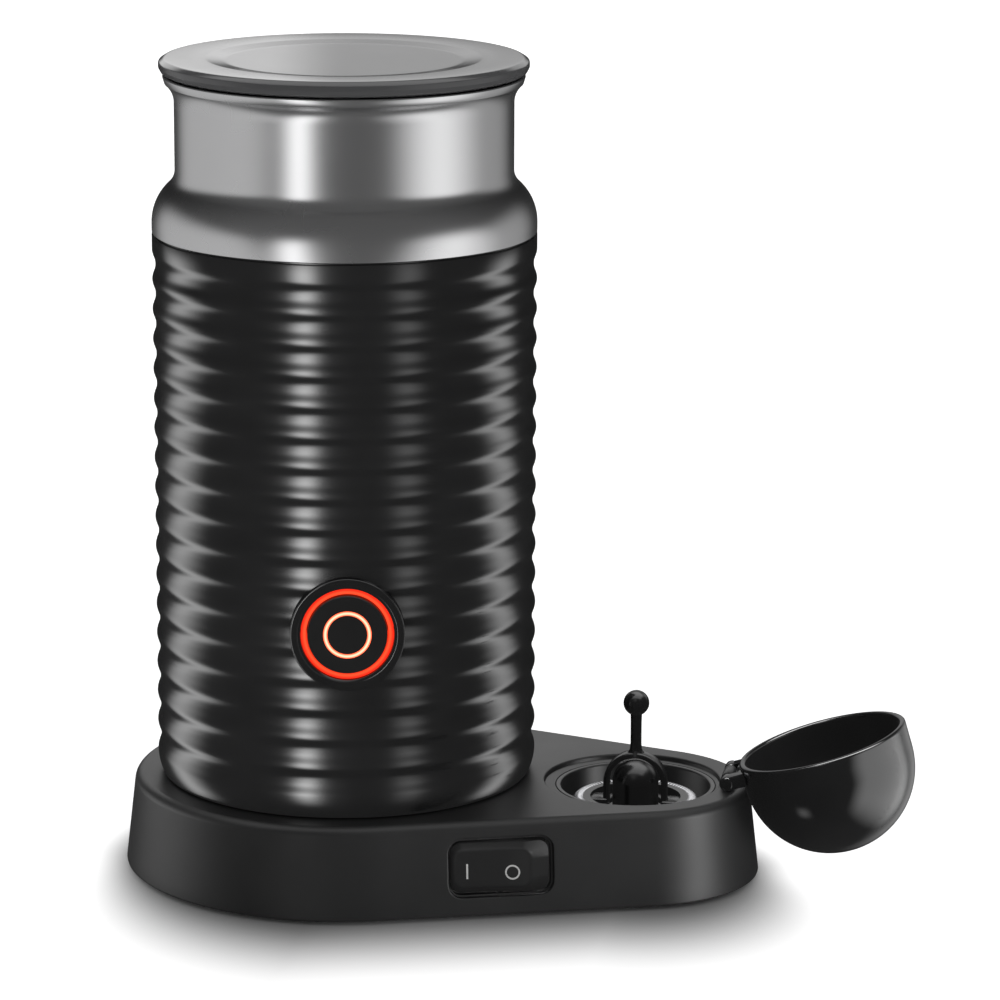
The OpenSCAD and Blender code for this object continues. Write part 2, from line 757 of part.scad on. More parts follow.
module status_leds() {
  color([0.95, 0.9, 0.8]) at_button() for (q = [45 : 90 : 315]) rotate([0, 0, q])
    translate([9.1 - 0.8, -0.8, board_d]) cube([1.6, 1.6, 1]);
}

// ---------- lid ----------
module lid_disc() {
  edge = lid_top_z - 0.3;
  color([0.55, 0.55, 0.56, 0.8]) rotate_extrude() polygon([
    [0, lid_top_z - 2.6], [0, lid_top_z - 0.6], [26.8, lid_top_z - 0.6], [27.4, lid_top_z - 0.25],
    [lid_r - 1, lid_top_z], [lid_r - 0.35, edge], [lid_r, edge - 0.6], [lid_r, edge - 1.6],
    [lid_r - 0.4, mouth_z + 0.5], [lid_r - 1.6, mouth_z + 0.2], [32, mouth_z + 0.2],
    [32, 171.2], [31, 171.2], [31, 167], [32, 167], [32, 166], [30, 166], [30, lid_top_z - 2.6]]);
}

module lid_seal() {
  color([0.25, 0.25, 0.25]) rotate_extrude() polygon([
    [31, 167], [32.2, 167], [pot_r - 0.2, 167.6], [32.2, 168.4], [32.2, 169.2],
    [pot_r - 0.2, 169.8], [32.2, 170.6], [32.2, 171.2], [31, 171.2]]);
}

base_housing();
base_plate();
foot_ring();
foot_pads();
base_screws();
connector_post();
connector_contacts();
whisk_well();
whisk_post();
hinge_pin();
switch_frame();
switch_body();
switch_terminals();
switch_rocker();
cord_gland();
gland_nut();
terminal_block();
whisk_cover();
whisk_frame();
whisk_coil();
whisk_magnets();
jug_sleeve();
jug_collar();
collar_seal();
milk_pot();
pot_gasket();
jug_bottom();
bottom_screws();
jug_socket();
socket_pins();
heater_plate();
heater_element();
thermal_cutout();
temperature_probe();
motor();
motor_bracket();
motor_screws();
control_board();
tact_switch();
status_leds();
power_board();
power_parts();
button_bezel();
button_light_ring();
button_cap();
button_inner_ring();
drive_shaft();
drive_carrier();
drive_magnets();
stirrer_frame();
stirrer_magnets();
lid_disc();
lid_seal();
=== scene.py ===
"""Looks of an electric milk frother: pieces, finishes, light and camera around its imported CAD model.

Lengths are in millimetres in the CAD model's frame and become metres where a mesh is made.
"""
import json
import math

import bmesh
import bpy
from mathutils import Matrix, Vector

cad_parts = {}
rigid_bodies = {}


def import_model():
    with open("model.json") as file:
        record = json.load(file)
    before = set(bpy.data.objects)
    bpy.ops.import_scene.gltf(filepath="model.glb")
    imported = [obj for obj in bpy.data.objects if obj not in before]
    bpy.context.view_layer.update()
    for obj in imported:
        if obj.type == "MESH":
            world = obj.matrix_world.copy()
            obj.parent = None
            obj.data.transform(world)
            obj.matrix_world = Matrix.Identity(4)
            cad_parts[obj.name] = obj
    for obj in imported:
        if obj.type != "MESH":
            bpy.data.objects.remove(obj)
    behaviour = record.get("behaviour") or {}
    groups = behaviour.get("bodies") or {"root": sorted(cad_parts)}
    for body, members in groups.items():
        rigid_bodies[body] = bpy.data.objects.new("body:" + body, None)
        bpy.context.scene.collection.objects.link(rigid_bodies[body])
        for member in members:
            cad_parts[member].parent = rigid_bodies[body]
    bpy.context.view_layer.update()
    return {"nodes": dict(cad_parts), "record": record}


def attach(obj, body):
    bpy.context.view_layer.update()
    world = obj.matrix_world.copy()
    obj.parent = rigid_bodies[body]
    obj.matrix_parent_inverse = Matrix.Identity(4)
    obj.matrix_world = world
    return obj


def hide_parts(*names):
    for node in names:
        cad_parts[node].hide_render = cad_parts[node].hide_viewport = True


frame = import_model()

MM = 0.001
TURNS = 192              # segments round a turned piece
SHARP = 38.0             # edges that turn more than this many degrees stay sharp
WELD = 0.002             # vertices this close are joined after a cut

# ---- jug ----
JUG_TURN = 10.8          # how far the jug is turned on its base
JUG_R = 41.0
RIB_DEPTH = 0.7
RIB_COUNT = 17
RIB_PITCH = 6.47
RIB_GAP = 3.7            # from the collar down to the first rib
RIB_STEPS = 24           # rings along one rib
RIB_CREST = 1.4          # over 1 makes the crests narrower than the grooves
SKIRT_IN = 1.25          # how far the sleeve draws in below its last rib
SLEEVE_IN_R = 38.4
COLLAR_Z = 139.5
COLLAR_T = 0.9
NECK_R = 36.0
MOUTH_Z = 172.9
SHOULDER_TURN = 48.0
SHOULDER_TOP_R = 4.5
SHOULDER_LOW_R = (JUG_R - NECK_R) / (1 - math.cos(math.radians(SHOULDER_TURN))) - SHOULDER_TOP_R
SHOULDER_MID_Z = 149.4
FLARE_TURN = 50.0
FLARE_R = 5.5
FLARE_Z = 167.0
POT_R = 33.1
POT_T = 0.9
POT_FLOOR_Z = 87.2
POT_FLOOR_T = 1.2
POT_CORNER = 7.0
LID_R = 39.2
LID_TOP_Z = 176.5
LID_BAND_R = 31.0        # where a paler band is painted on the lid for the plug showing through
PLUG_R = 32.0
GROOVE_R = 31.0          # the seal's groove in the plug
SEAL_Z = (167.0, 171.2)  # the seal's lower and upper edge

# ---- button ----
BUTTON_Z = 61.4
BEZEL_R = 12.0
GLOW_R = 9.7
CAP_R = 8.35
FACE_D = 41.9            # how far its face is from the jug's axis
FLANGE_D = (34.4, 35.8)  # back and front of the flange behind it
CAP_D = FACE_D - 0.15    # the cap's own face
RING_D = FACE_D - 1.6    # floor of the cap's groove
GLOW_IN = (4.15, 5.05)   # the cap's own light ring

# ---- base ----
BASE_R = 48.2
END_R = 27.9
BASE_LEN = 62.6
SHELL_Z = 0.8
BASE_TOP_Z = 20.7
BASE_TAPER = 2.3
BASE_EDGE_R = 2.2
WALL = 2.2
TAPER = math.atan(BASE_TAPER / (BASE_TOP_Z - SHELL_Z))
SIDE = math.asin((BASE_R - END_R) / BASE_LEN)
SIDE_STEPS = 24
POST_R = 9.8
HOLE_LOW_Z = 5.0         # where the cutters for the holes in its top begin
GLAND_Z = 9.5
GLAND_D = BASE_R - 1.8
FOOT_H = 1.4

# ---- rocker switch ----
SWITCH_S = 25.8
SWITCH_Z = 11.0
SWITCH_W = 22.5
SWITCH_H = 12.6
SWITCH_CORNER = 3.0
ROCKER_TILT = 7.0
ROCKER_AXIS_D = 3.0      # how deep in the base it pivots
MARK_T = 0.04

# ---- whisk well and cover ----
WELL_X = 63.6
WELL_R = 16.1
WELL_FLOOR_Z = 12.4
SEAT_X = 62.9
SEAT_R = 19.0
SEAT_Z = BASE_TOP_Z - 1.1
RIM_Z = SEAT_Z + 0.2
CUP_R = WELL_R + 1.2
DOME_R = 5.0
DOME_Z = 20.2
COVER_X = SEAT_X - 0.3
COVER_R = 18.5
COVER_WALL = 1.5
SKIRT_H = 6.0
COVER_OPEN = 163.4
KNUCKLE_R = 1.55
PIVOT = Vector((COVER_X + COVER_R + 2.9, 0, BASE_TOP_Z + 1.8))

# ---- whisk ----
COIL_R = 12.2
COIL_WIRE_R = 1.55
COIL_Z = 15.6
COIL_TURNS = 92
ARCH_R = 6.9
ARCH_IN_R = 5.7
ARCH_Z = 20.1
ARM_Z = 14.6
ARM_T = 2.0
RING_IN_R = 9.8
RING_Z = (14.2, 17.0)    # lower and upper edge of the ring round the arms
KNOB_R = 2.8
KNOB_Z = 37.9
STIRRER_LIFT = POT_FLOOR_Z - 13

# ---- camera and light ----
VIEW_TURN = 10.5         # direction from which the camera sees the jug
CAMERA_REACH = 962.7     # from the jug's axis, level
CAMERA_HEIGHT = 308.3
CAMERA_PITCH = 13.32
CAMERA_AIM = 1.98        # how far the camera looks past the jug's axis, to the right
CAMERA_ROLL = 0.241
LENS = 165.0
FLOOR_SHADE = (9.0, 48.0)  # how far the painted shadow on the floor reaches beside the base and in front of it
SHADE_START = -4.0       # where the floor's painted shadow begins, under the base's edge
WORLD_LIGHT = (0.02, 0.13)  # surroundings behind the object and in front of it


# ---------- materials ----------
class Tree:
    """A node tree with short calls to add and join nodes."""

    def __init__(self, tree):
        self.tree = tree

    def add(self, kind, **values):
        node = self.tree.nodes.new(kind)
        for key, value in values.items():
            if hasattr(node, key):
                setattr(node, key, value)
            else:
                node.inputs[key.replace("_", " ")].default_value = value
        return node

    def join(self, source, target):
        self.tree.links.new(source, target)

    def calc(self, operation, first, second=None, kind="ShaderNodeMath", result="Value"):
        """Result of an operation on a source and, if it needs one, a second source or fixed value."""
        node = self.add(kind, operation=operation)
        self.join(first, node.inputs[0])
        if isinstance(second, bpy.types.NodeSocket):
            self.join(second, node.inputs[1])
        elif second is not None:
            node.inputs[1].default_value = second
        return node.outputs[result]

    def vector(self, operation, first, second=None):
        result = "Value" if operation in ("LENGTH", "DOT_PRODUCT") else "Vector"
        return self.calc(operation, first, second, "ShaderNodeVectorMath", result)

    def off(self, source, middle):
        """How far source is from middle, to either side."""
        return self.calc("ABSOLUTE", self.calc("SUBTRACT", source, middle))

    def axes(self, source):
        """The X, Y and Z of a vector."""
        node = self.add("ShaderNodeSeparateXYZ")
        self.join(source, node.inputs["Vector"])
        return node.outputs

    def between(self, source, low, high, start=0.3, stop=0.7, **values):
        """source, spread from low to high while it goes from start to stop."""
        node = self.add("ShaderNodeMapRange", **values)
        for key, value in (("From Min", start), ("From Max", stop), ("To Min", low), ("To Max", high)):
            node.inputs[key].default_value = value
        self.join(source, node.inputs["Value"])
        return node.outputs["Result"]


class Nodes(Tree):
    """A new material and its node tree."""

    def __init__(self, name, **sockets):
        self.material = bpy.data.materials.new(name)
        self.material.use_nodes = True
        super().__init__(self.material.node_tree)
        self.shader = self.tree.nodes["Principled BSDF"]
        for key, value in sockets.items():
            self.shader.inputs[key.replace("_", " ")].default_value = value
        self.where = self.add("ShaderNodeTexCoord").outputs["Object"]

    def mapped(self, **values):
        """Object coordinates, turned or stretched."""
        node = self.add("ShaderNodeMapping", **values)
        self.join(self.where, node.inputs["Vector"])
        return node.outputs["Vector"]

    def noise(self, scale, detail=4.0, at=None):
        node = self.add("ShaderNodeTexNoise", Scale=scale, Detail=detail)
        self.join(at or self.where, node.inputs["Vector"])
        return node.outputs["Fac"]

    def tint(self, source, dark, light, start=0.3, stop=0.7):
        """A colour between dark and light that follows source."""
        ramp = self.add("ShaderNodeValToRGB")
        ramp.color_ramp.elements[0].position = start
        ramp.color_ramp.elements[0].color = (*dark, 1)
        ramp.color_ramp.elements[1].position = stop
        ramp.color_ramp.elements[1].color = (*light, 1)
        self.join(source, ramp.inputs["Fac"])
        return ramp.outputs["Color"]

    def bump(self, source, strength, depth, under=None):
        node = self.add("ShaderNodeBump", Strength=strength, Distance=depth * MM)
        self.join(source, node.inputs["Height"])
        if under:
            self.join(under, node.inputs["Normal"])
        return node.outputs["Normal"]

    def to_shader(self, **sources):
        for key, source in sources.items():
            self.join(source, self.shader.inputs[key.replace("_", " ")])


def grey(value):
    return (value, value, value * 1.02)


def moulded(name, shade, roughness, grain=0.02, grain_scale=2600.0, smudge=0.05, **sockets):
    """Moulded plastic: a fine grain, faint handling marks in its gloss and a slight unevenness of shade."""
    n = Nodes(name, **sockets)
    marks = n.noise(34.0, 6.0)
    n.to_shader(
        Roughness=n.between(marks, roughness - smudge / 2, roughness + smudge / 2),
        Base_Color=n.tint(n.noise(90.0), grey(shade * 0.86), grey(shade * 1.14)),
        Normal=n.bump(n.noise(grain_scale, 2.0), 0.5, grain, n.bump(n.noise(160.0, 2.0), 0.2, grain)),
    )
    return n.material


def satin_steel():
    """Satin steel: very fine lines round the jug and soft clouds in the gloss."""
    n = Nodes("satin_steel", Metallic=1.0)
    lines = n.noise(900.0, 3.0, n.mapped(Scale=(0.35, 0.35, 9.0)))
    clouds = n.noise(26.0, 4.0)
    n.to_shader(
        Roughness=n.between(clouds, 0.25, 0.29),
        Base_Color=n.tint(clouds, (0.53, 0.53, 0.535), (0.57, 0.57, 0.575)),
        Normal=n.bump(lines, 0.05, 0.004),
    )
    return n.material


def surface(name, marks, roughness, shades, colours, grain, relief, **sockets):
    """A finish from three noises: marks in its gloss, shades in its colour and grain in its relief."""
    n = Nodes(name, **sockets)
    n.to_shader(
        Roughness=n.between(n.noise(*marks), *roughness),
        Base_Color=n.tint(n.noise(shades), *colours),
        Normal=n.bump(n.noise(*grain), *relief),
    )
    return n.material


def metal(name, dark, light, roughness, scale=300.0):
    """Small bare metal pieces: drawn or plated, with fine scratches and uneven shade."""
    return surface(name, (scale, 5.0), (roughness * 0.75, roughness * 1.3), scale / 3, (dark, light),
                   (scale * 5, 2.0), (0.3, 0.01), Metallic=1.0)


def coated_pot():
    """Dark non-stick coating with fine pale flecks."""
    n = Nodes("coated_pot", Metallic=0.35)
    flecks = n.add("ShaderNodeTexVoronoi", Scale=900.0)
    n.join(n.where, flecks.inputs["Vector"])
    n.to_shader(
        Roughness=n.between(n.noise(60.0, 5.0), 0.3, 0.4),
        Base_Color=n.tint(flecks.outputs["Distance"], (0.16, 0.16, 0.165), (0.055, 0.055, 0.058), 0.05, 0.2),
        Normal=n.bump(n.noise(1500.0, 3.0), 0.4, 0.02),
    )
    return n.material


def smoky_lid():
    """Smoky plastic, with a paler band painted where the plug's wall under the disc would show through: a
    painted show-through.
    """
    n = Nodes("smoky_lid", IOR=1.49, Transmission_Weight=0.12)
    reach = n.vector("LENGTH", n.mapped(Scale=(1.0, 1.0, 0.0)))
    share = n.between(n.off(reach, LID_BAND_R * MM), 1.0, 0.0, 0.2 * MM, 2.6 * MM)
    n.to_shader(
        Roughness=n.between(n.noise(60.0, 3.0), 0.1, 0.13),
        # paler band round LID_BAND_R: painted show-through of the plug's wall, not the plastic's own tint
        Base_Color=n.tint(share, (0.075, 0.075, 0.077), (0.12, 0.12, 0.122), 0.0, 1.0),
        Normal=n.bump(n.noise(240.0, 2.0), 0.03, 0.01),
    )
    return n.material


def circuit_board():
    """Green lacquer with lighter traces."""
    n = Nodes("circuit_board", Coat_Weight=0.4)
    cells = n.add("ShaderNodeTexBrick", Scale=120.0, Mortar_Size=0.06)
    n.join(n.where, cells.inputs["Vector"])
    n.to_shader(
        Roughness=n.between(n.noise(90.0), 0.3, 0.45),
        Base_Color=n.tint(cells.outputs["Fac"], (0.012, 0.10, 0.035), (0.03, 0.19, 0.07), 0.2, 0.8),
        Normal=n.bump(cells.outputs["Fac"], 0.3, 0.04),
    )
    return n.material


def lit_guide(name, edge, core, middle, spread, power):
    """A lit plastic ring in the button's face: pale along its middle, deeper towards both edges."""
    n = Nodes(name, Base_Color=(*edge, 1), Emission_Strength=power, Specular_IOR_Level=0.15)
    parts = n.axes(n.mapped(Rotation=(0, 0, -math.radians(JUG_TURN))))
    flat = n.add("ShaderNodeCombineXYZ")
    n.join(parts["X"], flat.inputs["X"])
    n.join(n.calc("SUBTRACT", parts["Z"], BUTTON_Z * MM), flat.inputs["Y"])
    reach = n.vector("LENGTH", flat.outputs["Vector"])
    share = n.between(n.off(reach, middle * MM), 0.0, 1.0, 0.0, spread * MM)
    colour = n.tint(share, core, edge, 0.2, 0.85)
    n.to_shader(Emission_Color=colour, Roughness=n.between(n.noise(300.0), 0.25, 0.35))
    return n.material


WHISK_BLACK = moulded("whisk_black", 0.006, 0.22, grain=0.005, smudge=0.05)
MARK_WHITE = surface("printed_white", (400.0,), (0.4, 0.55), 500.0, ((0.62, 0.62, 0.61), (0.72, 0.72, 0.71)),
                     (2500.0,), (0.3, 0.01))

# The finish of each slot that the CAD nodes name.
FINISHES = {
    "gloss_black": moulded("gloss_black", 0.005, 0.1, grain=0.003, smudge=0.03),
    "sleeve": moulded("sleeve_black", 0.006, 0.2, grain=0.004, smudge=0.05),
    "housing": moulded("housing_black", 0.014, 0.42, grain=0.02, smudge=0.06),
    "well_black": moulded("well_black", 0.014, 0.36, grain=0.015),
    "rocker_black": moulded("rocker_black", 0.02, 0.42, grain=0.012),
    "inner_black": moulded("inner_black", 0.02, 0.5, grain=0.03),
    "base_plate": moulded("plate_black", 0.025, 0.55, grain=0.05, grain_scale=1500.0),
    "button_black": moulded("cap_black", 0.012, 0.38, grain=0.004, smudge=0.04),
    "pale_plastic": moulded("pale_plastic", 0.5, 0.45, grain=0.02),
    "collar_steel": satin_steel(),
    "lid_grey": smoky_lid(),
    "seal_grey": surface("seal_rubber", (200.0,), (0.4, 0.55), 50.0, ((0.16, 0.16, 0.165), (0.2, 0.2, 0.205)),
                         (1200.0, 2.0), (0.3, 0.03), Transmission_Weight=0.15),
    "rubber": surface("rubber", (180.0, 5.0), (0.65, 0.85), 60.0, (grey(0.03), grey(0.055)),
                      (1800.0, 3.0), (0.6, 0.05)),
    "pot_coating": coated_pot(),
    "aluminium": surface("cast_aluminium", (900.0, 6.0), (0.38, 0.6), 70.0,
                         ((0.46, 0.46, 0.47), (0.6, 0.6, 0.61)), (900.0, 6.0), (0.5, 0.06), Metallic=1.0),
    "brass": metal("contact_brass", (0.6, 0.42, 0.16), (0.75, 0.55, 0.24), 0.3),
    "screw_steel": metal("screw_steel", (0.48, 0.48, 0.5), (0.62, 0.62, 0.64), 0.28),
    "motor_steel": metal("plated_steel", (0.42, 0.42, 0.44), (0.56, 0.56, 0.58), 0.35, 120.0),
    "element_steel": metal("element_steel", (0.18, 0.17, 0.17), (0.33, 0.31, 0.29), 0.5, 90.0),
    "coil_steel": metal("coil_steel", (0.26, 0.26, 0.27), (0.36, 0.36, 0.37), 0.3, 500.0),
    "magnet": metal("magnet_nickel", (0.5, 0.49, 0.47), (0.6, 0.59, 0.57), 0.22),
    "board": circuit_board(),
    "light_red": lit_guide("red_light", (0.8, 0.02, 0.005), (1.0, 0.085, 0.025),
                           (GLOW_R + CAP_R) / 2 - 0.1, (GLOW_R - CAP_R) / 2 - 0.1, 1.0),
    "light_white": lit_guide("pale_light", (1.0, 0.10, 0.03), (1.0, 0.72, 0.5),
                             sum(GLOW_IN) / 2, (GLOW_IN[1] - GLOW_IN[0]) / 2, 1.25),
}


# ---------- mesh helpers ----------
def spin(degrees, axis="Z"):
    return Matrix.Rotation(math.radians(degrees), 4, axis)


def move(x=0, y=0, z=0):
    return Matrix.Translation((x, y, z))


def new_object(name, data):
    obj = bpy.data.objects.new(name, data)
    bpy.context.scene.collection.objects.link(obj)
    return obj


def full_turn(steps):
    """Angles in radians of equal steps round a circle."""
    return [2 * math.pi * k / steps for k in range(steps)]


def skin(bm, rings, loop=False):
    """Faces between neighbouring rings of vertices. The two ends are closed, or joined to each other."""
    for a, b in zip(rings, rings[1:] + rings[:1] if loop else rings[1:]):
        for k in range(len(a)):
            far = (k + 1) % len(a)
            bm.faces.new((a[k], a[far], b[far], b[k]))
    if not loop:
        bm.faces.new(rings[0])
        bm.faces.new(rings[-1])


def mesh_from(name, bm, place=None):
    """A smooth mesh in metres from a bmesh in millimetres, with its sharp edges marked."""
    bmesh.ops.recalc_face_normals(bm, faces=bm.faces)
    for face in bm.faces:
        face.smooth = True
    if place:
        bm.transform(place)
    bm.transform(Matrix.Scale(MM, 4))
    mesh = bpy.data.meshes.new(name)
    bm.to_mesh(mesh)
    bm.free()
    mesh.set_sharp_from_angle(angle=math.radians(SHARP))
    return mesh


def piece(name, mesh, slot, body, *nodes, finish=None):
    """An object for the mesh that rides on a body, has a slot's finish and stands for CAD nodes."""
    obj = new_object(name, mesh)
    mesh.materials.clear()
    mesh.materials.append(finish or FINISHES[slot])
    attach(obj, body)
    if nodes:
        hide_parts(*nodes)
    return obj


def rounded(corners, steps=5):
    """Closed outline through corners (x, y) or (x, y, fillet), with the fillets drawn as arcs."""
    out = []
    for i, corner in enumerate(corners):
        p = Vector(corner[:2])
        if len(corner) == 2:
            out.append(p)
            continue
        a = Vector(corners[i - 1][:2]) - p
        b = Vector(corners[(i + 1) % len(corners)][:2]) - p
        reach = 0.49 * min(a.length, b.length)
        a.normalize()
        b.normalize()
        half = a.angle(b) / 2
        run = min(corner[2] / math.tan(half), reach)
        centre = p + (a + b).normalized() * (run / math.cos(half))
        start, stop = p + a * run - centre, p + b * run - centre
        sweep = start.angle(stop)
        for k in range(steps + 1):
            t = k / steps
            way = start * math.sin((1 - t) * sweep) + stop * math.sin(t * sweep)
            out.append(centre + way / math.sin(sweep))
    return out


def arc(centre, radius, start, stop, steps):
    """Points on an arc, its angles in degrees from the outline's first axis."""
    angles = [math.radians(start + (stop - start) * i / steps) for i in range(steps + 1)]
    return [Vector((centre[0] + radius * math.cos(q), centre[1] + radius * math.sin(q))) for q in angles]


def add_lathe(bm, outline, turns=TURNS, place=None):
    """Turns a closed outline of (radius, height) points about Z. Points on the axis become one vertex."""
    rings = []
    for r, z in outline:
        if r < 1e-6:
            rings.append([bm.verts.new((0, 0, z))])
            continue
        rings.append([bm.verts.new((r * math.cos(q), r * math.sin(q), z)) for q in full_turn(turns)])
    made = [v for ring in rings for v in ring]
    for a, b in zip(rings, rings[1:] + rings[:1]):
        for k in range(turns):
            near, far = k, (k + 1) % turns
            corners = [a[near], a[far]] if len(a) > 1 else [a[0]]
            corners += [b[far], b[near]] if len(b) > 1 else [b[0]]
            if len(corners) > 2:
                bm.faces.new(corners)
    if place:
        bmesh.ops.transform(bm, matrix=place, verts=made)


def lathe(name, outline, turns=TURNS, place=None):
    bm = bmesh.new()
    add_lathe(bm, outline, turns)
    return mesh_from(name, bm, place)


def add_sweep(bm, frames, section):
    """A closed bar: section points (u, v) carried along frames of (point, u axis, v axis)."""
    skin(bm, [[bm.verts.new(p + u * s[0] + v * s[1]) for s in section] for p, u, v in frames])


def add_block(bm, outline, z0, z1, edge=0.3, place=None):
    """An upright block over a closed outline, with its upper and lower edges rounded off in three steps."""
    centre = sum((Vector(p[:2]) for p in outline), Vector((0, 0))) / len(outline)
    rows = [(z0, edge), (z0 + edge * 0.3, edge * 0.3), (z0 + edge, 0)]
    rows += [(z1 - edge, 0), (z1 - edge * 0.3, edge * 0.3), (z1, edge)]
    rings = []
    for z, inset in rows:
        ring = []
        for p in outline:
            out = Vector(p[:2]) - centre
            q = centre + out * (1 - inset / max(out.length, 1e-6))
            ring.append(bm.verts.new((q.x, q.y, z)))
        rings.append(ring)
    skin(bm, rings)
    if place:
        bmesh.ops.transform(bm, matrix=place, verts=[v for ring in rings for v in ring])


def cut(mesh, cutters):
    """The mesh with each cutter's mesh taken out of it."""
    body = new_object("cut_body", mesh)
    tools = [new_object("cut_tool", cutter) for cutter in cutters]
    for tool in tools:
        modifier = body.modifiers.new("cut", "BOOLEAN")
        modifier.object = tool
        modifier.operation = "DIFFERENCE"
        modifier.solver = "EXACT"
    bpy.context.view_layer.update()
    graph = bpy.context.evaluated_depsgraph_get()
    result = bpy.data.meshes.new_from_object(body.evaluated_get(graph))
    result.name = mesh.name + "_cut"
    for obj in (body, *tools):
        bpy.data.objects.remove(obj)
    bm = bmesh.new()
    bm.from_mesh(result)
    bmesh.ops.remove_doubles(bm, verts=bm.verts, dist=WELD * MM)
    bmesh.ops.dissolve_degenerate(bm, edges=bm.edges, dist=WELD * MM)
    for face in bm.faces:
        face.smooth = True
    bm.to_mesh(result)
    bm.free()
    result.materials.clear()
    result.set_sharp_from_angle(angle=math.radians(SHARP))
    return result


def weighted(obj):
    """Lets large flat faces set the shading at rounded edges."""
    modifier = obj.modifiers.new("weighted", "WEIGHTED_NORMAL")
    modifier.keep_sharp = True
    modifier.weight = 60


def sunk_edge(radius, top, fillet):
    """Outline points of a cutter that leaves a rounded edge where a hole of this radius meets a face."""
    return arc((radius + fillet, top - fillet), fillet, 180, 90, 6)


# ---------- base ----------
def base_ring(bm, inset, z):
    """Vertices round the base's outline: two round ends joined by straight sides."""
    side = math.degrees(SIDE)
    large = arc((0, 0), BASE_R - inset, 90 - side, 270 + side, 96)
    small = arc((BASE_LEN, 0), END_R - inset, side - 90, 90 - side, 64)
    points = []
    for end, other in ((large, small), (small, large)):
        points += end[:-1] + [end[-1].lerp(other[0], i / SIDE_STEPS) for i in range(SIDE_STEPS)]
    return [bm.verts.new((p.x, p.y, z)) for p in points]


def base_profile():
    """(inset, height) of the housing from its bottom edge outside, over the top edge."""
    lean = math.tan(TAPER)
    foot = 0.5
    centre_z = BASE_TOP_Z - BASE_EDGE_R
    centre = (centre_z - SHELL_Z) * lean + BASE_EDGE_R / math.cos(TAPER)
    start = math.degrees(TAPER)
    turn = [math.radians(start + (90 - start) * i / 10) for i in range(11)]
    edge = [(centre - BASE_EDGE_R * math.cos(q), centre_z + BASE_EDGE_R * math.sin(q)) for q in turn]
    bottom = [(foot, SHELL_Z), (foot * 0.3, SHELL_Z + foot * 0.3), (foot * lean, SHELL_Z + foot)]
    wall = [(lean * (z - SHELL_Z), z) for z in (4.0, 8.0, 12.0, 16.0)]
    return bottom + wall + edge


def housing_mesh():
    bm = bmesh.new()
    outer = [base_ring(bm, inset, z) for inset, z in base_profile()]
    lean = math.tan(TAPER)
    ceiling = BASE_TOP_Z - WALL
    inner = [base_ring(bm, WALL + lean * (z - SHELL_Z), z) for z in (SHELL_Z, 7.0, 13.0, ceiling)]
    skin(bm, inner[::-1] + outer)
    return mesh_from("housing_shell", bm)


def turned_cutter(outline, place=None):
    return lathe("cutter", outline, 128, place)


def at_switch():
    """Frame of the rocker switch: x along the wall, y into the base, z up the leaning wall."""
    d = BASE_R - (SWITCH_Z - SHELL_Z) * math.tan(TAPER)
    x = d * math.sin(SIDE) + SWITCH_S * math.cos(SIDE)
    y = SWITCH_S * math.sin(SIDE) - d * math.cos(SIDE)
    lean = Matrix.Rotation(-TAPER, 4, "X")
    return move(x, y, SWITCH_Z) @ Matrix.Rotation(SIDE, 4, "Z") @ lean


def at_gland():
    """Frame of the cord's outlet: z points out of the base's back."""
    return move(0, GLAND_D, GLAND_Z) @ spin(-90, "X")


def switch_cutter():
    """Block that opens the wall for the switch and rounds the opening's outer edge."""
    fillet = 0.3
    bm = bmesh.new()
    rows = [(8.0, 0.0), (fillet, 0.0)]
    rows += [(fillet - fillet * math.sin(q), fillet - fillet * math.cos(q))
             for q in [math.radians(90 * i / 5) for i in range(1, 6)]]
    rows += [(-4.0, fillet)]
    rings = []
    for y, grow in rows:
        w, h, r = SWITCH_W / 2 + grow, SWITCH_H / 2 + grow, SWITCH_CORNER + grow
        outline = rounded([(-w, -h, r), (w, -h, r), (w, h, r), (-w, h, r)], 8)
        rings.append([bm.verts.new((p.x, y, p.y)) for p in outline])
    skin(bm, rings)
    return mesh_from("cutter", bm, at_switch())


def build_housing():
    above = BASE_TOP_Z + 5
    seat = [(0, SEAT_Z), (SEAT_R - 0.35, SEAT_Z), (SEAT_R - 0.1, SEAT_Z + 0.1), (SEAT_R, SEAT_Z + 0.35),
            *sunk_edge(SEAT_R, BASE_TOP_Z, 0.5), (SEAT_R + 0.5, above), (0, above)]
    hole_r = CUP_R + 0.03
    hole = [(0, HOLE_LOW_Z), (hole_r, HOLE_LOW_Z), *sunk_edge(hole_r, SEAT_Z, 0.2), (CUP_R + 0.23, above),
            (0, above)]
    post = [(0, HOLE_LOW_Z), (POST_R, HOLE_LOW_Z), *sunk_edge(POST_R, BASE_TOP_Z, 0.5),
            (POST_R + 0.5, above), (0, above)]
    gland = [(0, -9), (5.2, -9), (5.2, 0), (6.5, 0), (6.5, 6), (0, 6)]
    shell = cut(housing_mesh(), [
        turned_cutter(seat, move(SEAT_X)),
        turned_cutter(hole, move(WELL_X)),
        turned_cutter(post),
        turned_cutter(gland, at_gland()),
        switch_cutter(),
    ])
    weighted(piece("housing_shell", shell, "housing", "base", "base_housing"))


def build_hinge_ear():
    """Ear between the cover's two knuckles."""
    top = arc((0, 0), KNUCKLE_R, 0, 180, 14)
    outline = [Vector((KNUCKLE_R, -2.4))] + top + [Vector((-KNUCKLE_R, -2.4))]
    bm = bmesh.new()
    add_block(bm, outline, -3.0, 3.0, 0.25, move(*PIVOT) @ spin(90, "X"))
    piece("hinge_ear", mesh_from("hinge_ear", bm), "housing", "base")


